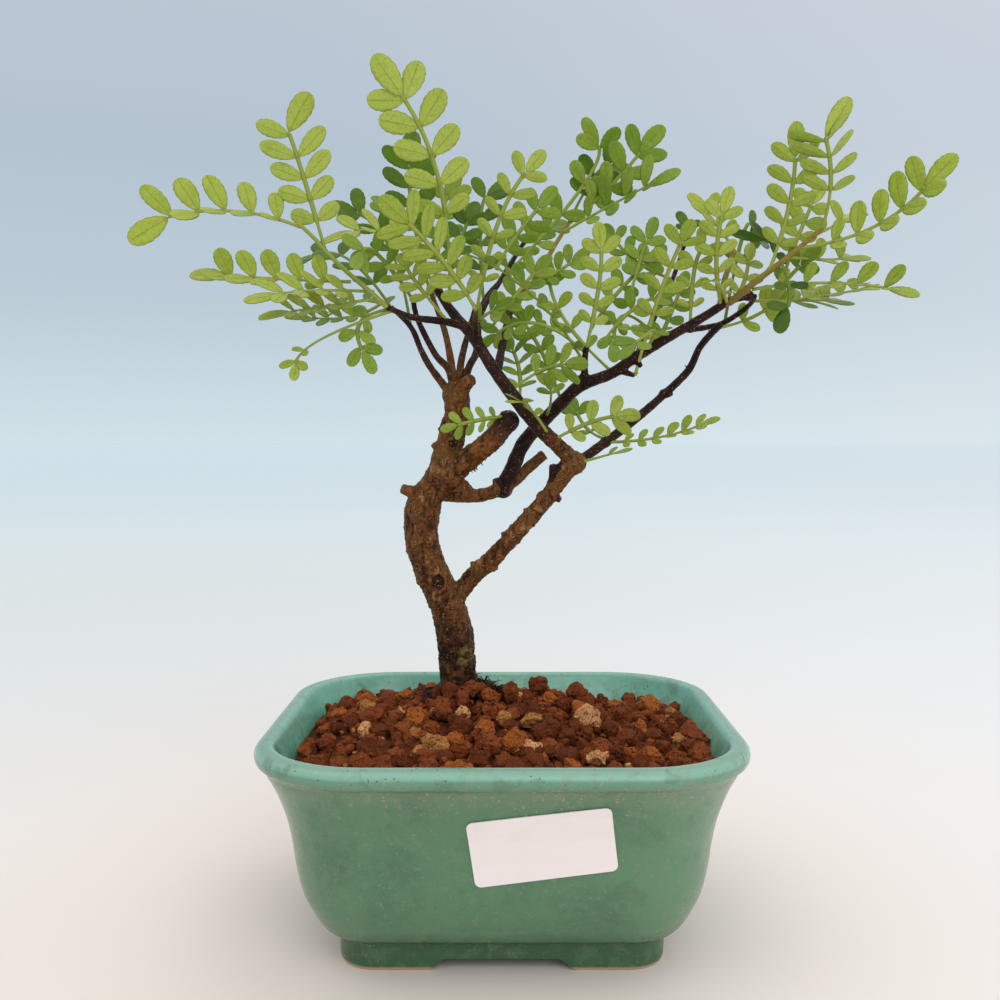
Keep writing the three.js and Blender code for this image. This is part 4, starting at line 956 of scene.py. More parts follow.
bark, tree, shader, where = new_material("bark", 0.42, Specular_IOR_Level=0.13)
age, relief = attribute(tree, "age"), attribute(tree, "relief")
high = node(tree, "ShaderNodeSeparateXYZ", Vector=where).outputs["Z"]
upright = node(tree, "ShaderNodeMapping", Vector=where, Scale=(1.0, 1.0, 0.45)).outputs[0]
lying = node(tree, "ShaderNodeMapping", Vector=where, Scale=(1.0, 1.0, 2.0)).outputs[0]
old = mottle(tree, where, BARK_OLIVE, BARK_BROWN, 120.0, 1100.0, 0.52)
branch = mottle(tree, where, BRANCH_BLACK, BRANCH_PURPLE, 220.0, 1000.0, 0.40)
fissures = times(tree, flecks(tree, upright, *FISSURES), 0.5)
patchy = maths(tree, "ADD", times(tree, flecks(tree, where, *FOOT_DARK_FLECKS), 0.55), 0.5)
foot_dark = maths(tree, "MINIMUM", times(tree, ramp(tree, high, *FOOT_DARK_FADE), patchy), 0.94)
showing = times(tree, ramp(tree, high, *DOTS_FROM), ramp(tree, age, 1.2, -0.1))
dots = times(tree, speckle(tree, lying, *DOTS), showing)
surface = layered(
    tree, old["Colour"],
    (BARK_RUST, flecks(tree, upright, *RUST_FLECKS), 0.40),
    (BARK_RUST, attribute(tree, "rust"), flecks(tree, where, *ORANGE_FLECKS)),
    # Painted highlight: the raised parts of the bark's relief are painted a lighter tan. The same tan on the
    # stub's flakes below is their own colour
    (BARK_TAN_FLAKE_AND_HIGHLIGHT, ramp(tree, relief, 0.15, 0.95), 0.6),
    # Painted shade: the hollows of the bark's relief are painted dark. The next layer draws dark fissure lines
    (BARK_FISSURE_AND_SHADE, ramp(tree, relief, -0.15, -1.0), 0.85),
    (BARK_FISSURE_AND_SHADE, fissures),
    (BARK_FOOT_DARK, foot_dark),
    (MOSS, ramp(tree, attribute(tree, "moss"), 0.05, 0.6), flecks(tree, where, *MOSS_FLECKS)),
    (branch["Colour"], ramp(tree, age, 0.12, 0.42)),
    (BARK_TAN_FLAKE_AND_HIGHLIGHT, ramp(tree, attribute(tree, "flaky"), 0.1, 0.5), flecks(tree, where, *STUB_FLAKES), 0.6),
    (TWIG_GOLD, ramp(tree, age, 0.6, 0.95)),
    (LENTICEL, dots),
    (LENTICEL, speckle(tree, lying, *SMALL_DOTS), showing, 0.8),
)
cracked = maths(tree, "SUBTRACT", old["Height"], times(tree, fissures, 0.4))
finish(tree, shader, surface, maths(tree, "ADD", cracked, times(tree, dots, 0.5)), 0.9, 0.0016)
vary_roughness(tree, shader, ramp(tree, age, 0.1, 0.5), 0.46, 0.30)
wood.data.materials.append(bark)

# Rootlets, prickles and bark spines. Thin roots creep from the trunk's foot over the granules, and the old
# stub is bristly with hard bark spines. All are too thin for the remeshed skin, so they are made as a piece of
# their own with the same bark.
ROOTLETS = 46
ROOT_START = 6.5
ROOT_REACH = (4, 15)
ROOT_LIFTS = (5.5, 3.6, 2.6, 2.6, 1.2)
ROOT_WANDER = 0.3
ROOT_RADIUS = (0.22, 0.5)
ROOT_TIP, HAIR_TIP, PRICKLE_TIP = 0.14, 0.08, 0.06
STRAND_MESH = (6, 1.2)
ROOT_HAIRS = 260
ROOT_MOUND = (-4, 19)
MOUND_WIDE, MOUND_DEEP = 5, 2
HAIR_TOP, HAIR_DEPTH = 81.5, 6
HAIR_LENGTH = (2, 5)
HAIR_RADIUS = (0.16, 0.36)
# Where pairs of prickles stand, at the foot of leaves
PRICKLES = [
    (48, 11.5, 192.8), (67, 7, 209.3), (77, 3, 216.6), (42, 14.3, 195), (58, 9, 205.6), (71, 5, 213),
    (-9, 0, 210.5), (36, 15.5, 192.6), (30.5, 16, 192), (50, 21, 178.5), (69, 22, 196), (-13, 8, 210),
    (22, 18.5, 184), (82, 1, 219.5),
]
PRICKLE_RADIUS = 0.55
SPINES = 70
SPINE_FOOT = 3.6
SPINE_RADIUS = 0.38
SPINE_LENGTH = (1.2, 2.1)


def thread(route, thick, thin):
    """A thin tapering strand through a route."""
    rings, _ = limb_rings(route, lambda share: thick + (thin - thick) * share, *STRAND_MESH)
    return skin(rings)


thin_draw = random.Random(SOIL_SEED + 1)
strands = []
for _ in range(ROOTLETS):
    angle = thin_draw.uniform(0, math.tau)
    reach = thin_draw.uniform(*ROOT_REACH)
    route = []
    for step, root_lift in enumerate(ROOT_LIFTS):
        away = ROOT_START + reach * step / 4
        angle += thin_draw.uniform(-ROOT_WANDER, ROOT_WANDER)
        x, y = TRUNK_FOOT[0] + away * math.cos(angle), TRUNK_FOOT[1] + away * math.sin(angle)
        lift = root_lift + thin_draw.uniform(-0.4, 0.9)
        route.append((x, y, soil_height(x, y) + lift))
    strands.append(thread(route, thin_draw.uniform(*ROOT_RADIUS), ROOT_TIP))
for _ in range(ROOT_HAIRS):
    x = ROOT_MOUND[0] + thin_draw.gauss(0, MOUND_WIDE)
    y = ROOT_MOUND[1] + thin_draw.gauss(0, MOUND_DEEP)
    start = Vector((x, y, HAIR_TOP - 0.5 * abs(x + 9) - thin_draw.uniform(0, HAIR_DEPTH)))
    way = Vector((thin_draw.uniform(-1, 1), thin_draw.uniform(-1, 0.6), thin_draw.uniform(-0.6, 0.6)))
    tip = start + way * thin_draw.uniform(*HAIR_LENGTH)
    sag = (start + tip) / 2 + Vector((0, 0, thin_draw.uniform(0, 1.2)))
    strands.append(thread([start, sag, tip], thin_draw.uniform(*HAIR_RADIUS), HAIR_TIP))
stub_way = (STUB[1] - STUB[0]).normalized()
stub_across = stub_way.orthogonal().normalized()
for _ in range(SPINES):
    share = thin_draw.uniform(-0.35, 1.0)
    turn = thin_draw.uniform(0, math.tau)
    out = stub_across * math.cos(turn) + stub_way.cross(stub_across) * math.sin(turn)
    if out.z > 0.25:
        continue
    start = STUB[0].lerp(STUB[1], share) + out * SPINE_FOOT
    way = (out + stub_way * thin_draw.uniform(-0.5, 0.5)).normalized()
    tip = start + way * thin_draw.uniform(*SPINE_LENGTH)
    strands.append(thread([start, start.lerp(tip, 0.5), tip], SPINE_RADIUS, HAIR_TIP))
for spot in PRICKLES:
    for aside in (-1, 1):
        start = Vector(spot)
        tip = start + Vector((aside * thin_draw.uniform(1.0, 1.8), -0.8, thin_draw.uniform(0.6, 1.6)))
        strands.append(thread([start, start.lerp(tip, 0.5), tip], PRICKLE_RADIUS, PRICKLE_TIP))
bristles = solid("rootlets_and_spines", *join_skins(strands))
# A relief of -0.35 mixes a little of the painted shade of the bark's hollows into the rootlets and spines
for name, value in (("age", 0.1), ("relief", -0.35)):
    store(bristles, name, [value] * len(bristles.data.vertices))
bristles.data.materials.append(bark)
for piece in (wood, bristles):
    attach(piece, "root")
    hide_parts("tree")

# Leaves. Each compound leaf is a winged stalk with pairs of oval leaflets and a longer one at its tip.
# The blades are thin and finely scalloped, fold up a little along the midrib and are paler underneath.
# Which way a leaf's upper side looks, and how far its leaflets fold up from it, in degrees
FACES = {
    "level": (0, -0.35, 0.94, 14),
    "spread": (0, -0.57, 0.82, 16),
    "standing": (0, -0.77, 0.64, 33),
    "backward": (0, 0.97, 0.25, 12),
    "forward": (0, -0.9, 0.44, 16),
    "sideways": (0.6, 0.15, 0.78, 15),
}
AGES = {"pale": 0.0, "young": 0.25, "mid": 0.55, "dark": 0.82, "glossy": 1.0}
# Each leaf's name, the foot, middle and tip of its stalk, its pairs of leaflets and their length, the share of
# the stalk that is bare, its face and its age
SHOOT_LEAVES = [
    ("left_long", (-69, -6, 242), (-91, -8, 247), (-113, -10, 244.5), 5, 13.5, 0.17, "standing", "young"),
    ("left_upright", (-61, -4, 235), (-68, -7, 260), (-72, -10, 273), 5, 13, 0.24, "backward", "young"),
    ("left_level", (-52.5, -2, 224), (-75, 2, 225.5), (-97, 5, 227), 5, 12, 0.21, "standing", "young"),
    ("left_low_front", (-47, 0, 221), (-62.5, -10, 220), (-74, -17, 218), 4, 11, 0.28, "spread", "young"),
    ("left_low_back", (-44, 0, 218.5), (-60, -4, 215.5), (-72, -9, 213), 5, 10, 0.25, "spread", "young"),
]
LEAVES = [
    ("left_drooping", (-38, 1, 214.5), (-62, -6, 204), (-70, -12, 195), 2, 6, 0.84, "level", "young"),
    ("left_hanging", (-39, 1, 215), (-50, 4, 210.5), (-49.5, 6, 201), 3, 8, 0.42, "backward", "mid"),
    ("top_tall", (-19, 9, 217), (-20.5, -12, 253), (-32.5, -22, 281), 5, 13.5, 0.46, "backward", "young"),
    ("front_large", (-9, -4, 214), (-18.5, -15, 227.5), (-30.5, -25, 239.5),
     6, 11.5, 0.17, "backward", "pale"),
    ("top_left_level", (-25, 10, 226), (-38, 7, 240.5), (-51.5, 4, 242.5), 4, 11, 0.35, "spread", "young"),
    ("front_upright", (-9.5, 1, 209.5), (-2.5, -7, 240), (8, -12, 259), 6, 8.2, 0.28, "backward", "young"),
    ("front_small", (-19, 6, 211), (-28.5, -3, 222), (-32.5, -11, 228), 4, 7.8, 0.45, "backward", "pale"),
    ("back_left_high", (-27, 31, 225), (-34, 40, 253.5), (-35.5, 44, 275), 4, 12.5, 0.55, "forward", "dark"),
    ("back_top", (0, 48, 232), (31, 53, 268), (38, 52, 285), 4, 10.5, 0.3, "forward", "mid"),
    ("back_right_short", (12.5, 42, 230.5), (20, 42, 233.5), (27, 43, 238), 3, 8, 0.3, "forward", "mid"),
    ("rear_high", (27, 53, 256), (36.5, 57, 273.5), (43.5, 60, 279), 3, 11, 0.4, "forward", "dark"),
    ("rear_middle", (26, 52, 254), (40.5, 50, 266.5), (53.5, 47, 280.5), 4, 12, 0.35, "forward", "mid"),
    ("rear_low", (24, 51, 251), (41, 45, 259.5), (55.5, 38, 266), 4, 12, 0.3, "standing", "mid"),
    ("spur_upright", (30.5, 13, 202.5), (34.5, 9, 223.5), (35, 6, 236.5), 5, 8.4, 0.26, "backward", "young"),
    ("spur_edgewise", (30, 15, 197), (13.5, -3, 216.5), (-5, -18, 228), 7, 7.5, 0.14, "sideways", "mid"),
    ("inner_diagonal", (22, 19, 183), (13.5, 28, 205), (3.5, 32, 218.5), 6, 7.8, 0.22, "forward", "mid"),
    ("inner_short", (6, 6.5, 182.5), (6.5, 15, 193), (4, 22, 202.5), 4, 7.8, 0.3, "forward", "mid"),
    ("leader_front", (2, 11, 178), (-7, 3, 176.5), (-15.5, 0, 174.5), 4, 5.6, 0.3, "backward", "mid"),
    ("crossing_small", (18, 9, 169), (11, 0, 179), (6.5, -6, 182.5), 2, 7, 0.6, "level", "young"),
    ("crossing_upper", (16, 21, 177), (17.5, 14, 182), (17.5, 9, 187), 1, 7.5, 0.9, "backward", "mid"),
    ("right_front", (48, 11.5, 192.5), (55, 3, 219), (61, -9, 236.5), 5, 8.5, 0.27, "backward", "pale"),
    ("right_upright", (67, 7, 209), (67.5, 2, 229.5), (71, -1, 236), 4, 7.2, 0.25, "backward", "young"),
    ("right_slim", (77, 3, 216), (73.5, -6, 231.5), (74.5, -11, 245.5), 5, 8, 0.2, "backward", "young"),
    ("back_thin_left", (64, 32, 230), (51.5, 38, 237.5), (43.5, 44, 247.5), 4, 7.2, 0.2, "forward", "mid"),
    ("back_thin_tip", (69.5, 36, 243), (72, 39, 247), (71.5, 41, 251), 1, 7, 0.8, "forward", "dark"),
    ("middle_hanging", (54, 20.5, 210), (44, 16, 214.5), (40.5, 13, 205.5), 2, 7.5, 0.68, "backward", "mid"),
    ("right_golden", (82.5, 7, 236), (78.5, 9, 243), (73, 12, 251), 3, 8.5, 0.35, "standing", "young"),
    ("end_upright", (92, -4, 227.5), (98, -5, 247.5), (99.5, -8, 265), 5, 10.2, 0.25, "backward", "young"),
    ("end_tip_upright", (109, -8, 241), (110.5, -12, 256), (107.5, -15, 270),
     4, 12.5, 0.42, "backward", "young"),
    ("end_long", (102, -6, 235), (122.5, -16, 239.5), (137.5, -24, 251), 5, 12, 0.25, "standing", "young"),
    ("end_level", (87, -1, 221.5), (108, -10, 222.5), (128, -19, 219.5), 5, 9, 0.2, "standing", "mid"),
    ("end_level_back", (98, -5, 232), (112.5, 3, 232.5), (121.5, 10, 234), 2, 10.8, 0.5, "standing", "mid"),
    ("end_low_back", (88.5, 6.5, 218.5), (101.5, 6, 218.5), (117.5, 13, 219.5),
     4, 10.5, 0.25, "spread", "mid"),
    ("end_drooping", (96, -5, 230), (97, -12, 220.5), (95.5, -16, 213.5), 2, 9, 0.5, "forward", "glossy"),
    ("end_inner", (90, -3.5, 225.5), (96, 3, 235), (93, 8, 240), 2, 10.5, 0.55, "sideways", "glossy"),
    ("end_young", (79, 2, 217), (75, -6, 222), (70.5, -12, 223), 2, 4.5, 0.3, "level", "pale"),
    ("low_right", (38, 17, 168.5), (55.5, 11, 170), (70.5, 6, 174.5), 6, 6.6, 0.2, "spread", "young"),
    ("low_middle", (18, 9, 169), (30, 3, 175), (39.5, -2, 177.5), 3, 8.6, 0.3, "backward", "young"),
    ("low_back", (40, 17.5, 169.5), (33.5, 30, 172.5), (29, 40, 180), 2, 8, 0.5, "forward", "mid"),
    ("front_left_fan", (-31, 6, 218), (-41.5, -8, 231.5), (-46.5, -16, 232), 4, 8.5, 0.35, "backward", "mid"),
    ("back_middle_high", (-25.5, 30, 220.5), (-24, 46, 250), (-21.5, 54, 265.5),
     4, 11, 0.4, "forward", "mid"),
    ("back_left_fan", (-41, 27, 218), (-57.5, 38, 237.5), (-71.5, 46, 241.5), 4, 11, 0.3, "spread", "dark"),
    ("back_deep_high", (-7, 41, 222), (-8.5, 56, 254.5), (-6, 62, 267.5), 4, 10, 0.3, "forward", "dark"),
    ("back_deep_right", (-3.5, 44.5, 227), (9, 60, 248), (19.5, 70, 257), 4, 9.5, 0.3, "forward", "mid"),
    ("back_deep_left", (-10, 38, 220), (-28.5, 54, 245.5), (-44.5, 64, 262.5), 4, 10, 0.35, "spread", "mid"),
    ("back_low_left", (-38, 27, 216), (-50, 40, 223), (-63, 50, 221.5), 3, 9, 0.3, "spread", "mid"),
    ("right_back_upright", (81, 16, 212), (89.5, 28, 244), (94.5, 34, 250), 3, 8, 0.55, "forward", "dark"),
    ("middle_back_fan", (40, 15, 194), (24.5, 34, 214), (18.5, 44, 231), 4, 8, 0.3, "forward", "pale"),
    ("front_low_fan", (52, 11, 202), (52.5, -6, 207), (44.5, -18, 201.5), 3, 8.5, 0.4, "level", "mid"),
    ("end_tip_short", (105.5, -7, 238.5), (113.5, -3, 242.5), (119, 2, 245.5),
     1, 12, 0.9, "standing", "young"),
    ("inner_level", (30.5, 14, 200.5), (13, 16, 211.5), (-2, 18, 208), 5, 6.8, 0.4, "forward", "mid"),
    ("inner_right", (3, 6, 186.5), (13, 8, 193.5), (22, 5, 196), 3, 9, 0.5, "backward", "mid"),
    ("back_left_tuft", (-34, 26, 211.5), (-43, 40, 243), (-56, 45, 257), 3, 10.5, 0.62, "forward", "dark"),
]
LEFT_SHOOT = [(-40, 0, 215.5), (-45.5, -1, 220.5), (-56.5, -3, 230), (-64.5, -5, 238.5), (-70, -6, 243.5)]
LEAF_SEED = 11
ALONG = 24
ACROSS = 6
NOTCH_EVERY = 3
NOTCH = 0.055
BLADE_THICK = 0.2
# How much a leaflet folds along its midrib, curls down to its tip and twists
FOLD = (0.05, 0.24)
CURL = (0.0, 0.12)
TWIST = (-0.10, 0.10)
MIDRIB_SINK = 0.12
# How far leaflets stray in age, length, lean, lift and roll from what their leaf gives them
AGE_STRAY = 0.06
SHADE_STRAY = 0.10
LENGTH_STRAY = 0.05
LEAN_STRAY, LIFT_STRAY = 4, 8
ROLL_STRAY = 0.18
LEAN, LEAN_GAIN = 28, 8
WIDTH_RATIO = 0.56
ROOM_SHARE = 0.98
SHORTEST = 0.7
END_SCALE = 1.15
END_WIDTH_RATIO = 0.52
END_BEHIND = 1.5
# A stalk's radius at its start and the loss to its tip, its swelling at leaflets, its wings, and its steps
STALK_RADIUS, STALK_TAPER = 0.62, 0.26
JOINT_SWELL = 0.1
WING, WING_END = 0.32, 0.985
STEM_RADIUS, STEM_TAPER, STEM_WING = 1.05, 0.35, 0.15
STEM_AGE = 0.2
STALK_SIDES = 8
STALK_STEPS = 36
CURVE_STEPS = 60
LEAF_TONES = [(0.0, (0.262, 0.325, 0.030)), (0.25, (0.350, 0.398, 0.056)), (0.55, (0.150, 0.226, 0.022)),
              (0.82, (0.070, 0.128, 0.010)), (1.0, (0.024, 0.058, 0.006))]
UNDER_TONES = [(0.0, (0.310, 0.370, 0.060)), (0.25, (0.400, 0.450, 0.085)), (0.55, (0.200, 0.285, 0.040)),
               (0.82, (0.110, 0.180, 0.025)), (1.0, (0.030, 0.075, 0.012))]
STALK_TONES = [(0.0, (0.330, 0.360, 0.060)), (0.6, (0.240, 0.300, 0.045)), (1.0, (0.110, 0.170, 0.030))]
LEAF_EDGE = (0.110, 0.130, 0.008)
JOINT_RED = (0.240, 0.090, 0.025)
DULL_FLECKS = (800.0, 0.46)
GLANDS = (1300.0, 0.25, 0.25)
VEIN_WAVES, VEIN_SLANT = 52.0, 0.28
# How far some leaves' leaflets are rolled about their own length, in degrees, as they turn to the light
ROLLS = {"end_upright": 38, "end_tip_upright": 45, "front_upright": 35, "right_slim": 20, "right_front": 15,
         "right_upright": 25, "spur_upright": 12, "inner_short": 25, "left_upright": 8}
# Leaves that have lost one leaflet of the last pair, and the side it is lost from
LOST = {"left_long": -1, "left_upright": -1, "end_drooping": -1}
# Last leaflets that lean aside and roll about their own length, in degrees
ENDS = {"left_upright": (-50, 15), "left_long": (-25, -38), "end_tip_upright": (-52, 24)}
# Leaves lighter (below 0) or darker (above 0) than the rest of their age. The end leaves at the right are
# painted lighter, as painted light; low_right and low_middle are darker
SHADES = {"end_level": -0.22, "end_low_back": -0.2, "end_level_back": -0.25,
          "low_right": 0.08, "low_middle": 0.08}
# Small inner leaves too fine to be nodes of their own, each a part of the leaf it is named after
INNER_LEAVES = [
    ("right_front", (32, 18, 208.5), (40.5, 22, 221), (54.5, 26, 235.5), 5, 8, 0.25, "backward", "mid"),
    ("right_front", (35.5, 14, 202.5), (44.5, 12, 214), (55, 12, 220.5), 3, 7.5, 0.35, "forward", "mid"),
    ("middle_back_fan", (47.5, 20, 224), (51, 24, 235), (54, 26, 243.5), 3, 8, 0.3, "backward", "mid"),
    ("right_upright", (55.5, 16, 202.5), (60.5, 18, 212.5), (65.5, 22, 224), 4, 7.5, 0.25, "backward", "mid"),
    ("end_upright", (100, 4, 229.5), (105, 8, 241), (111, 12, 253.5), 4, 9, 0.25, "backward", "young"),
    ("end_inner", (83, 8, 218.5), (86.5, 10, 225.5), (89, 14, 233.5), 3, 7.5, 0.2, "backward", "young"),
    ("end_inner", (95, 4, 220), (99, 2, 224.5), (104, 0, 230), 2, 8, 0.4, "forward", "mid"),
    ("end_low_back", (102, 4, 218.5), (115.5, 6, 220.5), (127.5, 10, 223), 4, 8.5, 0.2, "level", "young"),
    ("middle_hanging", (77.5, 12, 209.5), (88, 14, 212.5), (95.5, 12, 216.5),
     2, 9.5, 0.5, "forward", "young"),
    ("front_upright", (-2, 10, 230), (3.5, 12, 240), (13, 14, 252.5), 4, 9, 0.3, "backward", "mid"),
    ("inner_level", (-3, 14, 211), (3.5, 16, 220), (12, 20, 230.5), 4, 8.5, 0.3, "forward", "mid"),
    ("inner_level", (-12, 12, 208), (-8, 8, 212), (-3, 4, 215), 2, 8, 0.5, "forward", "mid"),
    ("back_deep_high", (-19.5, 28, 234), (-16.5, 32, 242.5), (-13, 36, 252), 3, 9, 0.3, "forward", "dark"),
    ("back_low_left", (-43, 16, 219.5), (-54, 14, 214), (-68, 10, 213), 5, 8.5, 0.25, "spread", "mid"),
    ("low_middle", (29, 10, 161.5), (34.5, 8, 163), (39.5, 6, 164.5), 1, 6.5, 0.8, "level", "young"),
]


def blade_share(i):
    """How far along the blade its row i lies, with the rows closer together at both ends."""
    t = i / ALONG
    return t - 0.62 * math.sin(math.tau * t) / math.tau


def blade_half(u):
    """Half the width of a leaflet at one share of its length: egg-shaped, blunt, 1 at its widest."""
    return u ** 0.75 * max(1 - u, 0) ** 0.5 / 0.4312


class Foliage:
    """Gathers the vertices, faces and marks of one spray before it becomes a mesh."""

    def __init__(self):
        self.verts, self.faces = [], []
        self.marks = {"along": [], "across": [], "under": [], "age": [], "stalk": []}

    def add(self, verts, faces, **marks):
        start = len(self.verts)
        self.verts += verts
        self.faces += [tuple(start + i for i in face) for face in faces]
        for name, kept in self.marks.items():
            value = marks[name]
            kept += value if isinstance(value, list) else [value] * len(verts)


def add_blade(spray, root, direction, normal, length, width, age, rng):
    """One leaflet: a thin closed blade with a scalloped edge, folded along its midrib."""
    across = normal.cross(direction).normalized()
    fold, curl, twist = rng.uniform(*FOLD), rng.uniform(*CURL), rng.uniform(*TWIST)
    top, marks_u, marks_v = [], [], []
    for i in range(ALONG + 1):
        u = blade_share(i)
        half = width / 2 * blade_half(u)
        if i % NOTCH_EVERY == 0:
            half *= 1 - NOTCH
        for j in range(ACROSS + 1):
            v = j / ACROSS * 2 - 1
            rise = fold * abs(v * half) - curl * length * u * u - 0.10 * half * v * v
            rise += twist * u * v * half + 0.05 * math.sin(u * 9 + v * 2) * abs(v)
            rise -= MIDRIB_SINK * max(1 - abs(v) * 3, 0) * (1 - u)
            point = root + direction * (u * length) + across * (v * half) + normal * rise
            top.append(point)
            marks_u.append(u)
            marks_v.append(v)
    low = [point - normal * BLADE_THICK for point in top]
    row, count = ACROSS + 1, len(top)
    faces = []
    for i in range(ALONG):
        for j in range(ACROSS):
            a = i * row + j
            faces.append((a, a + 1, a + row + 1, a + row))
            faces.append((count + a, count + a + row, count + a + row + 1, count + a + 1))
        for a, b in ((i * row, i * row + row), (i * row + row + ACROSS, i * row + ACROSS)):
            faces.append((a, b, count + b, count + a))
    for j in range(ACROSS):
        end = ALONG * row + j
        faces.append((j + 1, j, count + j, count + j + 1))
        faces.append((end, end + 1, count + end + 1, count + end))
    spray.add(top + low, faces, along=marks_u * 2, across=marks_v * 2,
              under=[0.0] * count + [1.0] * count, age=age, stalk=0.0)


def add_stalk(spray, points, sides_ways, radius_at, age, wing_at, joints=()):
    """A stalk with a narrow wing on each side, through points with the side and face of the leaf at each."""
    rings, marks = [], []
    for i, (middle, (side, face)) in enumerate(zip(points, sides_ways)):
        share = i / (len(points) - 1)
        radius, wing = radius_at(share), wing_at(share)
        ring = []
        for k in range(STALK_SIDES):
            angle = k * math.tau / STALK_SIDES
            spread = radius + (wing if k in (0, STALK_SIDES // 2) else 0)
            groove = 0.7 if k == STALK_SIDES // 4 else 1
            up = face * (math.sin(angle) * radius * groove)
            ring.append(middle + side * (math.cos(angle) * spread) + up)
        rings.append(ring)
        red = max([0.0] + [max(1 - abs(share - joint) / 0.018, 0) for joint in joints])
        marks += [1.0 + red] * STALK_SIDES
    spray.add(*skin(rings), along=0.5, across=0.5, under=0.5, age=age, stalk=marks)


def stray(rng, reach):
    return rng.uniform(-reach, reach)


def add_leaf(spray, entry, rng):
    """A whole compound leaf: winged stalk, pairs of leaflets and the last one at the tip."""
    name, base, middle, tip, pairs, size, bare, face, age_name = entry
    start, through, end = Vector(base), Vector(middle), Vector(tip)
    control = through * 2 - (start + end) / 2
    *way, fold_up = FACES[face]
    way = Vector(way)
    age = clamp(AGES[age_name] + SHADES.get(name, 0) + stray(rng, AGE_STRAY))

    def on_curve(t):
        return start * (1 - t) ** 2 + control * (2 * t * (1 - t)) + end * t * t

    walked = [0.0]
    for i in range(CURVE_STEPS):
        walked.append(walked[-1] + (on_curve((i + 1) / CURVE_STEPS) - on_curve(i / CURVE_STEPS)).length)
    length = walked[-1]

    def at(u):
        """The stalk's middle, direction, side and face at one share of its length."""
        i = max(i for i in range(CURVE_STEPS) if walked[i] <= u * length)
        t = (i + (u * length - walked[i]) / (walked[i + 1] - walked[i])) / CURVE_STEPS
        along = ((control - start) * (1 - t) + (end - control) * t).normalized()
        side = along.cross(way).normalized()
        return on_curve(t), along, side, side.cross(along).normalized()

    last = 1 - END_BEHIND / length
    step = (last - bare) / max(pairs - 1, 1)
    stations = [bare + step * k for k in range(pairs)] if pairs > 1 else [last]
    roll = math.radians(ROLLS.get(name, 0))
    line = [at(i / STALK_STEPS) for i in range(STALK_STEPS + 1)]

    def stalk_radius(share):
        near = max([0.0] + [max(1 - abs(share - joint) / 0.03, 0) for joint in stations])
        return STALK_RADIUS - STALK_TAPER * share + JOINT_SWELL * near

    def wing(share):
        return WING if stations[0] < share < WING_END else 0

    add_stalk(spray, [p[0] for p in line], [(p[2], p[3]) for p in line], stalk_radius, age, wing, stations)
    for k, u in enumerate(stations):
        for side_sign in (-1, 1):
            if k == pairs - 1 and LOST.get(name) == side_sign:
                continue
            root, along, side, normal = at(u)
            share = k / max(pairs - 1, 1)
            swell = math.sin(math.pi * (0.05 + 0.55 * share))
            long = size * (SHORTEST + (1 - SHORTEST) * swell)
            long *= rng.uniform(1 - LENGTH_STRAY, 1 + LENGTH_STRAY)
            lean = math.radians(LEAN + LEAN_GAIN * share + stray(rng, LEAN_STRAY))
            lift = math.radians(fold_up + stray(rng, LIFT_STRAY))
            flat = side * (side_sign * math.cos(lean)) + along * math.sin(lean)
            direction = flat * math.cos(lift) + normal * math.sin(lift)
            facing = normal * math.cos(lift) - flat * math.sin(lift)
            turn = -side_sign * roll + stray(rng, ROLL_STRAY)
            rolled = facing * math.cos(turn) + direction.cross(facing) * math.sin(turn)
            shade = clamp(age + stray(rng, SHADE_STRAY))
            room = step * length * math.cos(lean) * ROOM_SHARE if pairs > 1 else long
            width = min(long * WIDTH_RATIO, room)
            add_blade(spray, root + flat * 0.3, direction, rolled, long, width, shade, rng)
    root, along, side, normal = at(1)
    lean, roll = (math.radians(angle) for angle in ENDS.get(name, (0, 0)))
    direction = along * math.cos(lean) + side * math.sin(lean)
    rolled = normal * math.cos(roll) + direction.cross(normal) * math.sin(roll)
    long = size * END_SCALE
    add_blade(spray, root, direction, rolled, long, long * END_WIDTH_RATIO, age, rng)


def tone_ramp(tree, factor, tones):
    """A colour that changes with age through a few chosen tones."""
    made = node(tree, "ShaderNodeValToRGB", Fac=factor)
    stops = made.color_ramp.elements
    while len(stops) < len(tones):
        stops.new(0.5)
    for stop, (where_on, rgb) in zip(stops, tones):
        stop.position = where_on
        stop.color = (*rgb, 1)
    return made.outputs["Color"]


leaf_skin, tree, shader, where = new_material("leaf blade and stalk", 0.38, Specular_IOR_Level=0.12,
                                              Subsurface_Weight=0.15, Subsurface_Scale=0.002)
shader.inputs["Subsurface Radius"].default_value = (0.6, 1.0, 0.2)
age, along, across = attribute(tree, "age"), attribute(tree, "along"), attribute(tree, "across")
under, stalk = attribute(tree, "under"), attribute(tree, "stalk")
aside = maths(tree, "ABSOLUTE", across)
upper = tone_ramp(tree, age, LEAF_TONES)
lower = tone_ramp(tree, age, UNDER_TONES)
blade = layered(tree, upper, (lower, under))
fresh = mottle(tree, where, blade, lower, 300.0, 1500.0, 0.42)
midrib = ramp(tree, aside, 0.10, 0.02)
slant = maths(tree, "SUBTRACT", along, times(tree, aside, VEIN_SLANT))
veins = times(tree, ramp(tree, maths(tree, "SINE", times(tree, slant, VEIN_WAVES)), 0.75, 1.0), 0.16)
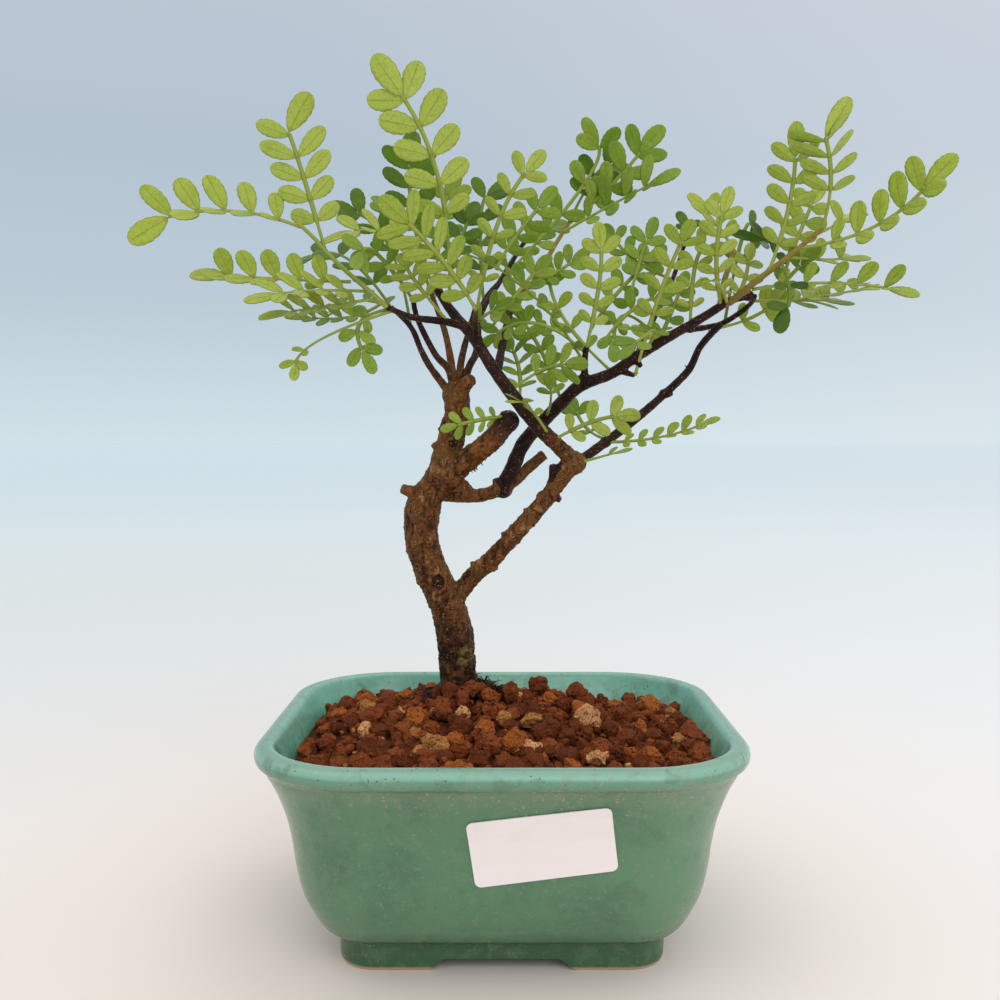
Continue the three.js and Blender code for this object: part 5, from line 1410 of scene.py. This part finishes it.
surface = layered(
    tree, fresh["Colour"],
    (LEAF_EDGE, flecks(tree, where, *DULL_FLECKS), 0.20),
    (LEAF_EDGE, midrib, 0.35),
    (LEAF_EDGE, veins),
    (LEAF_EDGE, speckle(tree, where, *GLANDS), 0.30),
    (LEAF_EDGE, ramp(tree, aside, 0.90, 1.0), 0.55),
    (LEAF_EDGE, ramp(tree, along, 0.16, 0.0), 0.4),
    (tone_ramp(tree, age, STALK_TONES), ramp(tree, stalk, 0.4, 0.6)),
    (JOINT_RED, ramp(tree, stalk, 1.2, 1.9), 0.4),
)
ribs = times(tree, maths(tree, "ADD", midrib, veins), 0.8)
finish(tree, shader, surface, maths(tree, "SUBTRACT", fresh["Height"], ribs), 0.3, 0.0004)
vary_roughness(tree, shader, ramp(tree, age, 0.85, 1.0), 0.38, 0.20)


def make_spray(name, entries, nodes, stem=None):
    rng = random.Random(LEAF_SEED + len(entries) + len(name))
    spray = Foliage()
    for entry in entries:
        add_leaf(spray, entry, rng)
    if stem:
        points = [Vector(p) for p in smooth_path(stem, 8)]
        ways = []
        for a, b in zip(points, points[1:] + points[-1:]):
            ahead = (b - a).normalized() if (b - a).length else ahead
            side = ahead.cross(Vector((0, -0.3, 1))).normalized()
            ways.append((side, side.cross(ahead)))
        add_stalk(spray, points, ways, lambda share: STEM_RADIUS - STEM_TAPER * share, STEM_AGE,
                  lambda share: STEM_WING)
    made = solid(name, spray.verts, spray.faces)
    for label, values in spray.marks.items():
        store(made, label, values)
    made.data.materials.append(leaf_skin)
    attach(made, "root")
    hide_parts(*nodes)
    return made


make_spray("foliage_left_shoot", SHOOT_LEAVES, ["shoot_left"], LEFT_SHOOT)
for entry in LEAVES:
    inner = [more for more in INNER_LEAVES if more[0] == entry[0]]
    made = make_spray("foliage_" + entry[0], [entry, *inner], ["leaf_" + entry[0]])

# Surroundings. A plain pale floor that runs into a soft sky, with broad lights high above it.
# The floor is warm near the pot and takes the sky's cool tone far away, so no edge is seen between them.
# Towards the lit side on the right it is painted paler, as painted light.
FLOOR_NEAR = (0.860, 0.750, 0.680)
FLOOR_MIDDLE = (0.720, 0.750, 0.735)
FLOOR_FAR = (0.740, 0.870, 0.910)
PALE = (0.930, 0.930, 0.930)
FLOOR_HALF = 60000
FLOOR_START = 0.4
LIT_SIDE = (-0.25, 0.60)
SKY_TONES = [(0.0, (0.640, 0.755, 0.805)), (0.12, (0.500, 0.605, 0.685)), (0.24, (0.460, 0.550, 0.640)),
             (0.38, (0.510, 0.570, 0.660)), (0.60, (0.90, 0.92, 0.95)), (1.0, (1.0, 1.0, 1.0))]
corners = [(x * FLOOR_HALF, y * FLOOR_HALF, 0) for x, y in ((-1, -1), (1, -1), (1, 1), (-1, 1))]
floor = solid("floor", corners, [(0, 1, 2, 3)])
pale, tree, shader, where = new_material("pale floor", 0.7, Specular_IOR_Level=0.2)
far = node(tree, "ShaderNodeVectorMath", {"operation": "LENGTH"})
tree.links.new(where, far.inputs[0])
far = maths(tree, "ADD", far.outputs["Value"], FLOOR_START)
nearness = maths(tree, "DIVIDE", 1.0, far)
sideways = node(tree, "ShaderNodeSeparateXYZ", Vector=where).outputs["X"]
bearing = maths(tree, "DIVIDE", sideways, far)
ground = layered(
    tree, FLOOR_MIDDLE,
    (FLOOR_NEAR, ramp(tree, nearness, 0.85, 2.1)),
    (FLOOR_FAR, ramp(tree, nearness, 0.85, 0.0)),
    # Painted light: the floor is paler towards the lit side on the right
    (PALE, ramp(tree, bearing, *LIT_SIDE), 0.35),
)
finish(tree, shader, ground)
floor.data.materials.append(pale)

world = bpy.data.worlds.new("sky")
bpy.context.scene.world = world
world.use_nodes = True
tree = world.node_tree
sky = node(tree, "ShaderNodeTexCoord").outputs["Generated"]
sky = node(tree, "ShaderNodeSeparateXYZ", Vector=sky).outputs
heaven = layered(tree, tone_ramp(tree, sky["Z"], SKY_TONES), (PALE, ramp(tree, sky["X"], *LIT_SIDE), 0.28))
tree.links.new(heaven, tree.nodes["Background"].inputs["Color"])


def lamp(name, spot, aim, size, power):
    made = bpy.data.objects.new(name, bpy.data.lights.new(name, "AREA"))
    made.data.shape = "SQUARE"
    made.data.size = size
    made.data.energy = power
    made.location = place(*spot)
    made.rotation_euler = (place(*aim) - made.location).to_track_quat("-Z", "Y").to_euler()
    bpy.context.collection.objects.link(made)


lamp("key", (-900, -300, 2300), (0, 0, 120), 1.6, 5.5)
lamp("top", (700, 500, 2500), (0, 0, 100), 1.6, 6.5)
lamp("front", (650, -1600, 1100), (0, 0, 120), 1.4, 9.5)
